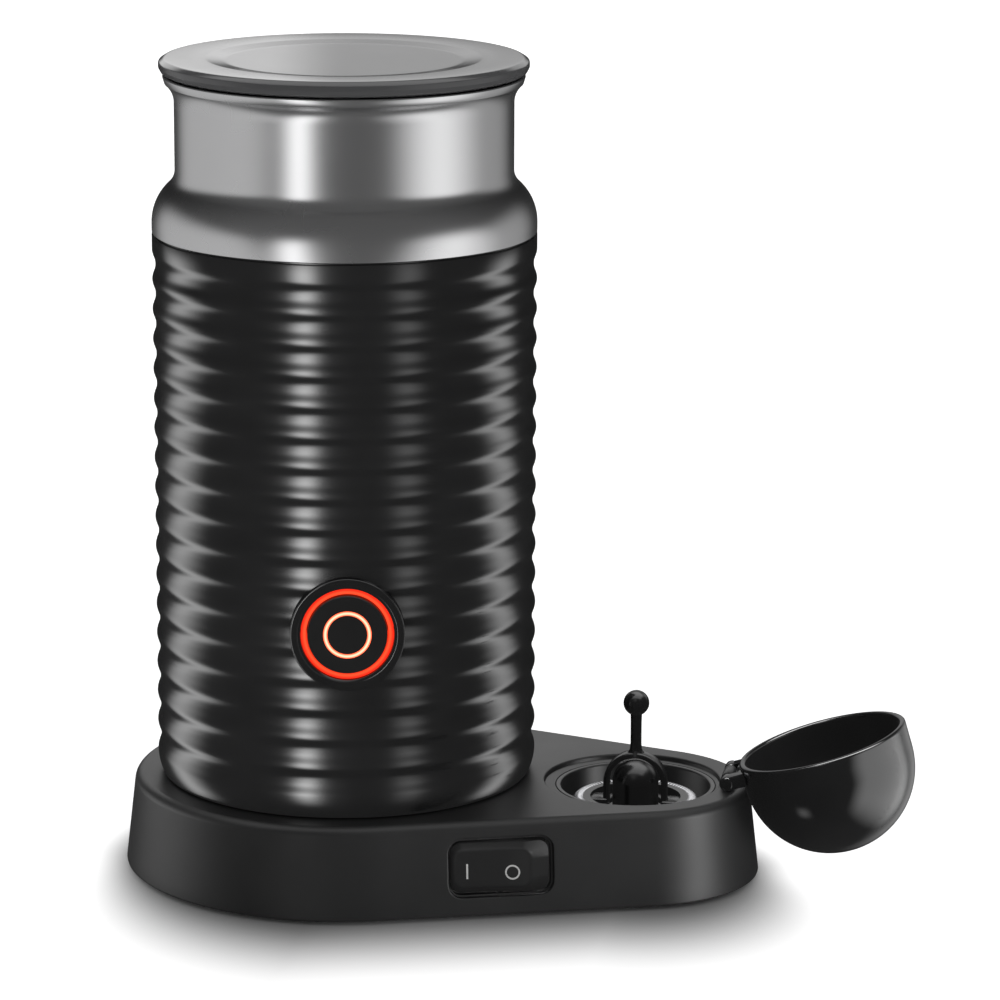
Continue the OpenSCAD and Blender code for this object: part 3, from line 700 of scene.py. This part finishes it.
def build_well():
    floor = WELL_FLOOR_Z
    outline = [(0, floor - 1.6), (CUP_R - 0.8, floor - 1.6, 0.8), (CUP_R, 14, 0.5), (CUP_R, SEAT_Z, 0.25),
               (WELL_R, SEAT_Z, 0.45), (WELL_R, floor + 2, 0.3), (WELL_R - 1, floor + 1.6, 0.4),
               (WELL_R - 1, floor, 0.6), (0, floor)]
    mesh = lathe("well_cup", rounded(outline), place=move(WELL_X))
    piece("well_cup", mesh, "well_black", "base", "whisk_well")
    dome = arc((0, DOME_Z), DOME_R, 90, 0, 24)
    foot = rounded([(0, floor - 0.5), (6.3, floor - 0.5), (6.3, floor + 0.6, 0.4), (DOME_R, floor + 0.6, 0.5),
                    (DOME_R, DOME_Z)])
    mesh = lathe("well_post", foot[:-1] + dome[::-1], place=move(WELL_X))
    piece("well_post", mesh, "gloss_black", "base", "whisk_post", finish=WHISK_BLACK)


def build_feet():
    ring = rounded([(32, 0, 0.4), (36, 0, 0.4), (36, FOOT_H), (32, FOOT_H)])
    piece("foot_band", lathe("foot_band", ring), "rubber", "base", "foot_ring")
    bm = bmesh.new()
    for side in (-1, 1):
        outline = rounded([(0, 0), (4.5, 0, 0.5), (4.5, FOOT_H), (0, FOOT_H)])
        add_lathe(bm, outline, 64, move(68, 13 * side))
    piece("foot_buttons", mesh_from("foot_buttons", bm), "rubber", "base", "foot_pads")


def build_gland():
    outline = rounded([(3.3, -8), (5.15, -8), (5.15, 0), (6.4, 0), (6.4, 2.8, 0.9), (3.3, 2.8, 0.8)])
    mesh = lathe("gland_collar", outline, 96, at_gland())
    piece("gland_collar", mesh, "inner_black", "base", "cord_gland")


# ---------- rocker switch ----------
def smooth_max(a, b, reach):
    """The larger of two heights, blended over a short reach."""
    h = max(reach - abs(a - b), 0) / reach
    return max(a, b) + h * h * reach / 4


def rocker_place():
    return at_switch() @ move(y=ROCKER_AXIS_D) @ spin(-ROCKER_TILT) @ move(y=-ROCKER_AXIS_D)


def rocker_top(x):
    """Depth of the rocker's raised face along its length: a shallow dish."""
    low_x, rise = -1.9, 0.71 if x < -1.9 else 0.95
    return -1.0 - rise * ((x - low_x) / 8) ** 2


def rocker_depth(x, z, w, h):
    """Depth of the rocker's face: raised plateau with rounded corners, and slopes down to its outline."""
    left, right, half_z, r = -w + 0.7, 6.6, h - 1.35, 1.9
    mid, half_x = (left + right) / 2, (right - left) / 2
    dx, dz = abs(x - mid) - (half_x - r), abs(z) - (half_z - r)
    over_x, over_z = max(dx, 0), max(dz, 0)
    outside = math.hypot(over_x, over_z) + min(max(dx, dz), 0) - r
    steep, gentle = 1.5, 0.93 if x > mid else 1.5
    slope = steep + (gentle - steep) * over_x / (over_x + over_z + 1e-6)
    return smooth_max(rocker_top(x), rocker_top(x) + outside * slope, 0.5)


def build_rocker():
    w, h, back, corner = SWITCH_W / 2 - 0.9, SWITCH_H / 2 - 0.95, 4.1, 2.1
    nx, nz = 88, 48
    bm = bmesh.new()
    grid = []
    for i in range(nx + 1):
        column = []
        for j in range(nz + 1):
            x, z = w * (2 * i / nx - 1), h * (2 * j / nz - 1)
            dx, dz = abs(x) - (w - corner), abs(z) - (h - corner)
            if dx > 0 and dz > 0:
                share = max(dx, dz) / math.hypot(dx, dz)
                x = math.copysign(w - corner + dx * share, x)
                z = math.copysign(h - corner + dz * share, z)
            column.append(bm.verts.new((x, rocker_depth(x, z, w, h), z)))
        grid.append(column)
    for i in range(nx):
        for j in range(nz):
            bm.faces.new((grid[i][j], grid[i + 1][j], grid[i + 1][j + 1], grid[i][j + 1]))
    rim = [grid[i][0] for i in range(nx)] + [grid[nx][j] for j in range(nz)]
    rim += [grid[i][nz] for i in range(nx, 0, -1)] + [grid[0][j] for j in range(nz, 0, -1)]
    base = [bm.verts.new((v.co.x, back, v.co.z)) for v in rim]
    for k in range(len(rim)):
        far = (k + 1) % len(rim)
        bm.faces.new((rim[k], base[k], base[far], rim[far]))
    bm.faces.new(base)
    mesh = mesh_from("rocker_body", bm, rocker_place())
    piece("rocker_body", mesh, "rocker_black", "rocker", "switch_rocker")
    build_marks()


def build_marks():
    """Printed I and O, a thin layer on the rocker's raised face."""
    bm = bmesh.new()
    left, right, low, high = -7.1, -6.7, -2.1, 1.1
    corners = [(left, low), (right, low), (right, high), (left, high)]
    skin(bm, [[bm.verts.new((x, rocker_top(x) + up, z)) for x, z in corners] for up in (0.1, -MARK_T)])
    mid, mid_z, outer, inner = 2.65, -0.9, 1.58, 1.22
    rings = []
    for r, up in ((outer, 0.1), (outer, -MARK_T), (inner, -MARK_T), (inner, 0.1)):
        points = [(mid + r * math.cos(q), mid_z + r * math.sin(q)) for q in full_turn(48)]
        rings.append([bm.verts.new((x, rocker_top(x) + up, z)) for x, z in points])
    skin(bm, rings, loop=True)
    mesh = mesh_from("rocker_marks", bm, rocker_place())
    piece("rocker_marks", mesh, "rocker_black", "rocker", finish=MARK_WHITE)


# ---------- whisk cover ----------
def build_cover():
    """Half-ball cover, drawn closed and then swung open about its hinge."""
    swing = move(*PIVOT) @ spin(COVER_OPEN, "Y") @ move(*-PIVOT)
    centre_z = RIM_Z + SKIRT_H
    inner_r = COVER_R - COVER_WALL
    outer = arc((0, centre_z), COVER_R, 0, 90, 56)
    inner = arc((0, centre_z), inner_r, 90, 0, 56)
    rim = rounded([(inner_r, RIM_Z + 3), (inner_r, RIM_Z, 0.62), (COVER_R, RIM_Z, 0.62),
                   (COVER_R, RIM_Z + 3)], 6)
    mesh = lathe("cover_shell", rim + outer + inner, 224, swing @ move(COVER_X))
    piece("cover_shell", mesh, "gloss_black", "cover", "whisk_cover")
    build_cover_arm(swing)


def build_cover_arm(swing):
    """Forked arm from the cover's wall to the knuckles."""
    start = COVER_R - 0.9
    half_w, gap, fork_x = 6.85, 3.45, PIVOT.x - 2.0 - COVER_X
    end_x = PIVOT.x - COVER_X - 0.2
    spread = math.degrees(math.asin(half_w / start))
    bm = bmesh.new()
    for side in (-1, 1):
        edge = [Vector((p.x, p.y * side)) for p in arc((0, 0), start, 0, spread, 8)]
        outline = edge + [Vector((end_x, half_w * side)), Vector((end_x, gap * side)),
                          Vector((fork_x, gap * side)), Vector((fork_x, 0))]
        outline = outline if side > 0 else outline[::-1]
        add_block(bm, outline, -KNUCKLE_R + 0.25, KNUCKLE_R, 0.45, move(COVER_X, 0, PIVOT.z))
        half = (half_w - gap) / 2 + 0.15
        barrel = rounded([(0, -half), (KNUCKLE_R, -half, 0.6), (KNUCKLE_R, half, 0.6), (0, half)])
        add_lathe(bm, barrel, 48, move(PIVOT.x, side * (half_w + gap) / 2, PIVOT.z) @ spin(90, "X"))
    piece("cover_arm", mesh_from("cover_arm", bm, swing), "gloss_black", "cover")


# ---------- whisk ----------
def add_knob(bm, lift):
    """Ball knob and a stem that widens into the arch."""
    root_z = ARCH_Z + ARCH_R - 0.4
    ball_start = math.degrees(math.asin(1.25 / KNOB_R)) - 90
    ball = arc((0, KNOB_Z), KNOB_R, ball_start, 90, 28)
    stem = [Vector((r, z)) for r, z in (
        (0, root_z - 0.6), (2.1, root_z - 0.6), (1.85, root_z + 0.1), (1.5, root_z + 0.5),
        (1.3, root_z + 1.1), (1.2, root_z + 2.2), (1.2, (root_z + KNOB_Z) / 2), (1.2, KNOB_Z - 4.2))]
    add_lathe(bm, stem + ball, 64, lift)


def add_arch(bm, lift):
    """Band that bridges the post: up one leg, over and down the other."""
    mid = (ARCH_R + ARCH_IN_R) / 2
    half_t, half_w = (ARCH_R - ARCH_IN_R) / 2, 1.8
    section = rounded([(-half_t, -half_w, 0.3), (half_t, -half_w, 0.45), (half_t, half_w, 0.45),
                       (-half_t, half_w, 0.3)], 3)
    across = Vector((0, 1, 0))
    frames = [(Vector((mid, 0, ARM_Z + 0.1)), Vector((1, 0, 0)), across)]
    for i in range(33):
        q = math.pi * i / 32
        out = Vector((math.cos(q), 0, math.sin(q)))
        frames.append((Vector((0, 0, ARCH_Z)) + out * mid, out, across))
    frames.append((Vector((-mid, 0, ARM_Z + 0.1)), Vector((-1, 0, 0)), across))
    add_sweep(bm, [(lift @ p, u, v) for p, u, v in frames], section)


def add_arms(bm, lift):
    for side in (0, 180):
        start, stop, half_w = ARCH_IN_R + 0.1, RING_IN_R + 0.6, 2.6
        outline = rounded([(start, -half_w, 0.4), (stop, -half_w, 0.4), (stop, half_w, 0.4),
                           (start, half_w, 0.4)], 4)
        add_block(bm, outline, ARM_Z, ARM_Z + ARM_T, 0.35, lift @ spin(side))


def add_rings(bm, lift, groove):
    disc = rounded([(ARCH_IN_R + 0.1, ARM_Z), (8, ARM_Z, 0.3), (8, ARM_Z + 1.2, 0.4),
                    (ARCH_IN_R + 0.1, ARM_Z + 1.2, 0.3)])
    add_lathe(bm, disc, 96, lift)
    low, high = RING_Z
    if groove:
        dip = arc((COIL_R, COIL_Z), COIL_WIRE_R + 0.05, 240, 120, 12)
        ring = [Vector(p) for p in ((RING_IN_R, low), (11.4, low), *dip, (11.4, high), (RING_IN_R, high))]
    else:
        ring = rounded([(RING_IN_R, low, 0.3), (11.6, low, 0.6), (11.6, high, 0.6), (RING_IN_R, high, 0.4)])
    add_lathe(bm, ring, 128, lift)


def whisk_mesh(name, x, rise, groove):
    lift = move(x, 0, rise)
    bm = bmesh.new()
    add_knob(bm, lift)
    add_arch(bm, lift)
    add_arms(bm, lift)
    add_rings(bm, lift, groove)
    return mesh_from(name, bm)


def coil_mesh():
    """Closed garter spring: wire wound round a ring."""
    wire = 0.38
    wound = COIL_WIRE_R - wire
    per_turn, sides = 16, 8
    count = COIL_TURNS * per_turn

    def centre(i):
        big = 2 * math.pi * i / count
        small = 2 * math.pi * i / per_turn
        r = COIL_R + wound * math.cos(small)
        return Vector((r * math.cos(big), r * math.sin(big), COIL_Z + wound * math.sin(small)))

    bm = bmesh.new()
    rings = []
    for i in range(count):
        p, along = centre(i), (centre(i + 1) - centre(i - 1)).normalized()
        big = 2 * math.pi * i / count
        heart = Vector((COIL_R * math.cos(big), COIL_R * math.sin(big), COIL_Z))
        out = p - heart
        u = (out - along * out.dot(along)).normalized()
        v = along.cross(u)
        angles = full_turn(sides)
        rings.append([bm.verts.new(p + (u * math.cos(q) + v * math.sin(q)) * wire) for q in angles])
    skin(bm, rings, loop=True)
    return mesh_from("spare_coil", bm, move(WELL_X))


def build_whisks():
    spare = whisk_mesh("spare_whisk", WELL_X, 0, True)
    piece("spare_whisk", spare, "gloss_black", "whisk", "whisk_frame", finish=WHISK_BLACK)
    piece("spare_coil", coil_mesh(), "coil_steel", "whisk", "whisk_coil")
    stirrer = whisk_mesh("pot_whisk", 0, STIRRER_LIFT, False)
    piece("pot_whisk", stirrer, "gloss_black", "stirrer", "stirrer_frame", finish=WHISK_BLACK)


# ---------- jug ----------
def sleeve_radius(z, low, rib_end, rib_top):
    """Outer radius of the sleeve: narrow crests, broader grooves, drawn in below the last rib."""
    if z < rib_end:
        return JUG_R - SKIRT_IN * ((rib_end - z) / (rib_end - low)) ** 2
    if z > rib_top:
        return JUG_R
    crest = (1 + math.cos(2 * math.pi * (z - rib_end) / RIB_PITCH)) / 2
    return JUG_R - RIB_DEPTH * (1 - crest ** RIB_CREST)


def at_button():
    """Frame of the button: z points out of the jug, y up."""
    return spin(JUG_TURN) @ move(z=BUTTON_Z) @ spin(90, "X")


def build_sleeve():
    low = BASE_TOP_Z + 0.2
    rib_top = COLLAR_Z - RIB_GAP
    rib_end = rib_top - RIB_COUNT * RIB_PITCH
    skirt = [low + 0.4 + (rib_end - low - 0.4) * i / 8 for i in range(8)]
    ribs = [rib_end + i * RIB_PITCH / RIB_STEPS for i in range(RIB_COUNT * RIB_STEPS + 1)]
    outer = [(sleeve_radius(z, low, rib_end, rib_top), z) for z in skirt + ribs]
    foot_r = sleeve_radius(low, low, rib_end, rib_top)
    foot = [(SLEEVE_IN_R, low), (foot_r - 0.5, low), (foot_r - 0.12, low + 0.12)]
    seam = [(JUG_R, COLLAR_Z - 0.55), (JUG_R - 0.1, COLLAR_Z - 0.35), (JUG_R - 0.45, COLLAR_Z - 0.25),
            (JUG_R - 0.5, COLLAR_Z), (SLEEVE_IN_R, COLLAR_Z)]
    shell = lathe("sleeve_shell", [Vector(p) for p in foot + outer + seam], 256)
    hole = [(0, 30), (BEZEL_R + 0.04, 30), (BEZEL_R + 0.04, 60), (0, 60)]
    shell = cut(shell, [turned_cutter(hole, at_button())])
    piece("sleeve_shell", shell, "sleeve", "jug", "jug_sleeve")


def collar_outline(t, steps=20):
    """Collar from its lower lip over the shoulder and neck to the flared mouth, thinned by t."""
    turn = SHOULDER_TURN
    low_z = SHOULDER_MID_Z - SHOULDER_LOW_R * math.sin(math.radians(turn))
    top_z = SHOULDER_MID_Z + SHOULDER_TOP_R * math.sin(math.radians(turn))
    shoulder = arc((JUG_R - SHOULDER_LOW_R, low_z), SHOULDER_LOW_R - t, 0, turn, steps)
    neck = arc((NECK_R + SHOULDER_TOP_R, top_z), SHOULDER_TOP_R + t, 180 + turn, 180, steps)
    flare = arc((NECK_R + FLARE_R, FLARE_Z), FLARE_R + t, 180, 180 - FLARE_TURN, steps)
    return shoulder + neck[1:] + flare


def build_collar():
    outer, inner = collar_outline(0), collar_outline(COLLAR_T)
    lip_r = NECK_R + FLARE_R * (1 - math.cos(math.radians(FLARE_TURN))) + 0.5
    mouth = rounded([tuple(outer[-1]), (lip_r, MOUTH_Z, 0.42), (lip_r - COLLAR_T, MOUTH_Z, 0.42),
                     tuple(inner[-1])])
    foot = rounded([(JUG_R - COLLAR_T, COLLAR_Z + 2), (JUG_R - COLLAR_T, COLLAR_Z, 0.2),
                    (JUG_R, COLLAR_Z, 0.35), (JUG_R, COLLAR_Z + 2)])
    outline = foot + outer + mouth[1:-1] + inner[::-1]
    piece("collar_shell", lathe("collar_shell", outline, 256), "collar_steel", "jug", "jug_collar")


def pot_outline(t, steps=16):
    r = POT_R + POT_T
    under = POT_FLOOR_Z - POT_FLOOR_T
    wide, drop = POT_CORNER - t, POT_CORNER - t * 4 / 3
    corner = [Vector((r - POT_CORNER + wide * math.sin(q), under + POT_CORNER - drop * math.cos(q)))
              for q in [math.pi / 2 * i / steps for i in range(steps + 1)]]
    f = FLARE_R + 1.5
    return corner + arc((r + f, FLARE_Z), f + t, 180, 135, steps)


def build_pot():
    outer, inner = pot_outline(0), pot_outline(POT_T)
    dome = arc((0, DOME_Z + STIRRER_LIFT), DOME_R, 0, 90, 20)
    foot = [(DOME_R + 1.2, POT_FLOOR_Z), (DOME_R + 0.35, POT_FLOOR_Z + 0.25), (DOME_R, POT_FLOOR_Z + 1.1)]
    outline = [Vector(p) for p in [(0, POT_FLOOR_Z - POT_FLOOR_T)] + outer + inner[::-1] + foot + dome]
    piece("pot_shell", lathe("pot_shell", outline), "pot_coating", "jug", "milk_pot")


def build_lid():
    top, (low, high) = LID_TOP_Z, SEAL_Z
    outline = rounded([
        (0, top - 2.6), (0, top - 0.6), (25.2, top - 0.6, 9), (29.2, top - 0.15, 6), (LID_R - 1.2, top, 1.2),
        (LID_R, top - 0.75, 0.6), (LID_R, top - 1.9, 0.5), (LID_R - 0.5, MOUTH_Z + 0.75, 0.5),
        (LID_R - 1.6, MOUTH_Z + 0.2, 0.3), (PLUG_R, MOUTH_Z + 0.2, 0.3), (PLUG_R, high), (GROOVE_R, high),
        (GROOVE_R, low), (PLUG_R, low), (PLUG_R, low - 1, 0.4), (30, low - 1, 0.4), (30, top - 2.6, 0.8)])
    piece("lid_shell", lathe("lid_shell", outline, 224), "lid_grey", "lid", "lid_disc")
    root, tip = PLUG_R + 0.2, POT_R - 0.2
    fins = rounded([
        (GROOVE_R, low), (root, low, 0.1), (tip, 167.6, 0.2), (root, 168.4, 0.2), (root, 169.2, 0.2),
        (tip, 169.8, 0.2), (root, 170.6, 0.2), (root, high), (GROOVE_R, high)], 3)
    piece("lid_fins", lathe("lid_fins", fins), "seal_grey", "lid", "lid_seal")


def build_button():
    place = at_button()
    face = FACE_D
    bezel = rounded([
        (GLOW_R + 0.1, FLANGE_D[0]), (BEZEL_R + 1.2, FLANGE_D[0], 0.2), (BEZEL_R + 1.2, FLANGE_D[1], 0.2),
        (BEZEL_R, FLANGE_D[1]),
        (BEZEL_R, face, 0.3), (GLOW_R + 0.75, face - 0.02, 0.3), (GLOW_R + 0.1, face - 0.45, 0.15)])
    piece("bezel_ring", lathe("bezel_ring", bezel, 160, place), "gloss_black", "jug", "button_bezel")
    glow = rounded([(CAP_R + 0.2, 34.2), (GLOW_R, 34.2), (GLOW_R, face - 1, 0.1),
                    (CAP_R + 0.2, face - 1, 0.1)])
    piece("glow_ring", lathe("glow_ring", glow, 160, place), "light_red", "jug", "button_light_ring")
    low, high = GLOW_IN
    cap = rounded([
        (0, 38), (2, 38), (2, face - 3), (CAP_R, face - 3, 0.2), (CAP_R, CAP_D, 0.35),
        (high, CAP_D, 0.05), (high, RING_D), (low, RING_D), (low, CAP_D, 0.05), (0, CAP_D)])
    piece("cap_disc", lathe("cap_disc", cap, 160, place), "button_black", "button", "button_cap")
    glint = rounded([(low, RING_D), (high, RING_D), (high, face - 0.12, 0.08), (low, face - 0.12, 0.08)])
    piece("cap_glow", lathe("cap_glow", glint, 128, place), "light_white", "button", "button_inner_ring")


def finish_cad_nodes():
    """Gives every CAD node that still shows its slot's finish."""
    slots = {row["node"]: row["material_slot"] for row in frame["record"]["subparts"]}
    for name, node in frame["nodes"].items():
        if not node.hide_render:
            for place in node.material_slots:
                place.material = FINISHES[slots[name]]


# ---------- stage, light and camera ----------
def floor_glow_and_painted_shadow(n):
    """Light given off by the floor: none right beside the base, rising to white further out, a painted
    shadow.
    The painted shadow is wider in front of the base than beside it."""
    across = n.axes(n.where)["X"]
    heart = n.add("ShaderNodeCombineXYZ")
    n.join(n.between(across, 0.0, BASE_LEN * MM, 0.0, BASE_LEN * MM), heart.inputs["X"])
    radius = n.between(across, BASE_R * MM, END_R * MM, 0.0, BASE_LEN * MM)
    out = n.vector("SUBTRACT", n.where, heart.outputs["Vector"])
    front = n.vector("DOT_PRODUCT", n.vector("NORMALIZE", out), around(0, 1, 0))
    ahead = n.calc("POWER", n.calc("MAXIMUM", front, 0.0), 2.0)
    glow = n.add("ShaderNodeMapRange", interpolation_type="SMOOTHSTEP", From_Min=SHADE_START * MM)
    n.join(n.between(ahead, *(reach * MM for reach in FLOOR_SHADE), 0.0, 1.0), glow.inputs["From Max"])
    n.join(n.calc("SUBTRACT", n.vector("LENGTH", out), radius), glow.inputs["Value"])
    return glow.outputs["Result"]


def build_floor():
    """Pale floor that runs up into a backdrop behind the object, with a painted shadow round the base."""
    half, front, back, rise, bend = 4000.0, -3000.0, 3200.0, 3000.0, 1500.0
    line = [Vector((front, 0)), Vector((0, 0)), Vector((back - bend, 0))]
    line += arc((back - bend, bend), bend, -90, 0, 16)[1:]
    line += [Vector((back, rise))]
    turn = spin(VIEW_TURN)
    bm = bmesh.new()
    rows = [[bm.verts.new(turn @ Vector((x, p.x, p.y))) for x in (-half, half)] for p in line]
    for a, b in zip(rows, rows[1:]):
        bm.faces.new((a[0], a[1], b[1], b[0]))
    mesh = mesh_from("floor", bm)
    floor = new_object("floor", mesh)
    n = Nodes("floor_white", Roughness=0.9, Emission_Color=(1, 1, 1, 1), Specular_IOR_Level=0.0)
    n.to_shader(Base_Color=n.tint(n.noise(3.0, 2.0), (0.79, 0.79, 0.79), (0.8, 0.8, 0.8)),
                # the floor's emission dips to nothing round the base: a painted shadow
                Emission_Strength=floor_glow_and_painted_shadow(n))
    mesh.materials.append(n.material)
    floor.visible_glossy = False
    floor.visible_shadow = False


def fade(tree, source, share):
    """A factor that rises from nothing at both ends of source (0 to 1) over share of its length."""
    return tree.between(tree.off(source, 0.5), 1.0, 0.0, 0.5 - share, 0.5, interpolation_type="SMOOTHSTEP")


def add_light(name, azimuths, heights, power, target, receivers=None, soft=(0.5, 0.5), reach=1000.0,
              blockers=None):
    """Soft rectangular light seen from target between two azimuths (degrees to the right of the camera's
    direction) and two elevations. Its brightness fades towards its edges over a share of its size."""
    azimuth, height = sum(azimuths) / 2, sum(heights) / 2
    wide = 2 * reach * math.tan(math.radians(azimuths[1] - azimuths[0]) / 2)
    tall = 2 * reach * math.tan(math.radians(heights[1] - heights[0]) / 2)
    data = bpy.data.lights.new(name, "AREA")
    data.shape = "RECTANGLE"
    data.size, data.size_y = wide * MM, tall * MM
    data.energy = power * math.pi * data.size * data.size_y
    data.use_nodes = True
    tree = Tree(data.node_tree)
    spot = tree.axes(tree.add("ShaderNodeNewGeometry").outputs["Parametric"])
    strength = tree.calc("MULTIPLY", fade(tree, spot["X"], soft[0]), fade(tree, spot["Y"], soft[1]))
    tree.join(strength, data.node_tree.nodes["Emission"].inputs["Strength"])
    light = new_object(name, data)
    out = Vector(around(azimuth, math.cos(math.radians(height)), math.sin(math.radians(height))))
    light.location = (Vector(target) + out * reach) * MM
    light.rotation_euler = (-out).to_track_quat("-Z", "Y").to_euler()
    light.visible_camera = False
    if receivers:
        light.light_linking.receiver_collection = receivers
    if blockers:
        light.light_linking.blocker_collection = blockers


def around(angle, reach, z):
    """A place around the jug: angle in degrees to the right of the camera's own direction."""
    q = math.radians(VIEW_TURN - 90 + angle)
    return (reach * math.cos(q), reach * math.sin(q), z)


def pieces_like(name, *starts):
    """Collection of the scene's mesh objects whose names begin with one of these."""
    group = bpy.data.collections.new(name)
    for obj in bpy.context.scene.objects:
        if obj.type == "MESH" and obj.name.startswith(starts):
            group.objects.link(obj)
    return group


def pieces_besides(name, *groups):
    """Collection of the object's meshes that are in none of the groups."""
    taken = {obj.name for group in groups for obj in group.objects}
    result = bpy.data.collections.new(name)
    for obj in bpy.context.scene.objects:
        if obj.type == "MESH" and obj.name not in taken and not obj.name.startswith("floor"):
            result.objects.link(obj)
    return result


def build_world():
    """Dim grey surroundings, darker behind the object than in front of it."""
    world = bpy.data.worlds.new("studio")
    world.use_nodes = True
    tree = Tree(world.node_tree)
    where = tree.add("ShaderNodeTexCoord").outputs["Generated"]
    ahead = tree.vector("DOT_PRODUCT", where, around(0, 1, 0))
    background = world.node_tree.nodes["Background"]
    background.inputs["Color"].default_value = (1, 1, 1, 1)
    tree.join(tree.between(ahead, *WORLD_LIGHT, -0.9, 0.3), background.inputs["Strength"])
    bpy.context.scene.world = world


def build_lights():
    build_world()
    steel = pieces_like("lit_steel", "collar_shell")
    sleeve = pieces_like("lit_sleeve", "sleeve_shell", "bezel_ring")
    base = pieces_like("lit_base", "housing_shell", "hinge_ear", "well_cup", "foot", "gland", "switch")
    rocker = pieces_like("lit_rocker", "rocker")
    cover = pieces_like("lit_cover", "cover_")
    whisk = pieces_like("lit_whisk", "spare_whisk", "well_post")
    coil = pieces_like("lit_coil", "spare_coil")
    lid = pieces_like("lit_lid", "lid_")
    rest = pieces_besides("lit_rest", steel, base, lid, cover, rocker)
    for obj in pieces_like("unmirrored", "housing_shell", "well_", "cover_", "spare_", "base_", "connector_",
                            "foot_", "gland", "switch_", "terminal").objects:
        obj.visible_glossy = False
    top, collar, drum, low = (0, 0, 176), (0, 0, 155), (0, 0, 85), (0, 0, 20)
    foot, well, bowl = (20, 0, 12), (63, 0, 25), (85, 0, 35)
    add_light("steel_left", (-152, -42), (-60, 25), 0.6, collar, steel, (0.3, 0.3))
    add_light("steel_key", (-44, -16), (-60, 25), 2.5, collar, steel, (0.5, 0.3))
    add_light("steel_right", (26, 106), (-60, 25), 1.35, collar, steel, (0.5, 0.3))
    add_light("steel_rim", (80, 150), (-60, 25), 0.4, collar, steel, (0.4, 0.3))
    add_light("sleeve_left", (-126, -82), (-42, 42), 3.1, low, sleeve, (0.5, 0.2), 157, sleeve)
    add_light("sleeve_key", (-35, -13), (-45, 40), 15.0, drum, sleeve, blockers=sleeve)
    add_light("sleeve_mid", (24, 50), (-45, 40), 2.0, drum, sleeve, blockers=sleeve)
    add_light("sleeve_right", (79, 115), (-42, 42), 3.0, low, sleeve, (0.5, 0.2), 158, sleeve)
    add_light("base_left", (-145, -66), (-20, 25), 2.2, foot, base)
    add_light("base_key", (-35, -12), (-20, 20), 1.2, foot, base)
    add_light("rocker_key", (-35, -12), (-20, 20), 1.2, foot, rocker)
    add_light("rocker_right", (45, 85), (5, 60), 4.5, foot, rocker)
    add_light("rocker_top", (-50, 50), (60, 130), 0.6, foot, rocker, (0.2, 0.2), 1500)
    add_light("base_right", (42, 78), (-25, 30), 11.0, foot, base)
    add_light("base_top", (-50, 50), (50, 130), 0.9, (0, 0, 0), base, (0.2, 0.2), 1500)
    add_light("bowl_right", (25, 125), (-62, 40), 2.8, bowl, cover, (0.3, 0.4), blockers=cover)
    add_light("bowl_key", (-45, -15), (32, 62), 5.0, bowl, cover)
    add_light("bowl_top", (-50, 40), (68, 112), 14.0, bowl, cover, (0.3, 0.3))
    add_light("bowl_rim", (95, 165), (-62, 40), 0.7, bowl, cover, (0.4, 0.4), blockers=cover)
    add_light("bowl_back", (150, 215), (0, 30), 0.5, bowl, cover, (0.3, 0.3))
    add_light("bowl_glint", (-57, -34), (-59, -38), 1.3, bowl, cover, blockers=cover)
    add_light("whisk_left", (-150, -100), (0, 50), 1.3, well, whisk)
    add_light("whisk_right", (105, 155), (0, 50), 1.1, well, whisk)
    add_light("whisk_key", (-40, 5), (18, 60), 1.6, well, whisk, (0.8, 0.8))
    add_light("whisk_top", (-60, 60), (70, 130), 1.0, well, whisk, (0.4, 0.4))
    add_light("whisk_back", (145, 215), (0, 35), 0.7, well, whisk, (0.3, 0.3), blockers=whisk)
    add_light("whisk_fill", (-100, 100), (-40, 14), 0.35, well, whisk, (0.2, 0.2), blockers=whisk)
    add_light("coil_top", (-80, 80), (30, 130), 0.9, well, coil, (0.3, 0.3), blockers=coil)
    add_light("coil_back", (130, 230), (0, 60), 0.8, well, coil, (0.3, 0.3), blockers=coil)
    add_light("top_soft", (-50, 50), (50, 130), 2.0, (0, 0, 0), rest, (0.2, 0.2), 1500)
    add_light("back_soft", (145, 215), (4, 40), 1.1, (0, 0, 20), base, (0.3, 0.3), 1500)
    add_light("back_high", (150, 210), (35, 65), 1.0, (0, 0, 60), rest, (0.3, 0.3), 1500)
    add_light("lid_top", (-50, 50), (50, 130), 1.4, (0, 0, 0), lid, (0.2, 0.2), 1500)
    add_light("lid_sides", (-150, -55), (-40, 30), 0.5, top, lid, (0.4, 0.3))
    add_light("lid_front", (20, 120), (-40, 30), 0.5, top, lid, (0.4, 0.3))
    add_light("lid_back", (140, 220), (2, 34), 0.9, top, lid, (0.2, 0.3), 600)
    add_light("lid_left", (180, 225), (2, 28), 0.55, top, lid, (0.1, 0.3), 300)


def build_camera():
    data = bpy.data.cameras.new("camera")
    data.lens = LENS
    data.sensor_width = 36.0
    data.clip_end = 20.0
    camera = new_object("camera", data)
    pitch, roll = math.radians(CAMERA_PITCH), math.radians(CAMERA_ROLL)
    aim = math.radians(CAMERA_AIM - VIEW_TURN)
    forward = Vector((math.sin(aim) * math.cos(pitch), math.cos(aim) * math.cos(pitch), -math.sin(pitch)))
    right = forward.cross(Vector((0, 0, 1))).normalized()
    up = right.cross(forward)
    across = right * math.cos(roll) + up * math.sin(roll)
    above = up * math.cos(roll) - right * math.sin(roll)
    axes = Matrix((across, above, -forward)).transposed()
    place = Vector(around(0, CAMERA_REACH, CAMERA_HEIGHT)) * MM
    camera.matrix_world = Matrix.Translation(place) @ axes.to_4x4()
    bpy.context.scene.camera = camera


build_camera()
build_housing()
build_hinge_ear()
build_well()
build_feet()
build_gland()
build_rocker()
build_cover()
build_whisks()
build_sleeve()
build_collar()
build_pot()
build_lid()
build_button()
finish_cad_nodes()
build_floor()
build_lights()
bpy.context.scene.view_settings.view_transform = "Standard"
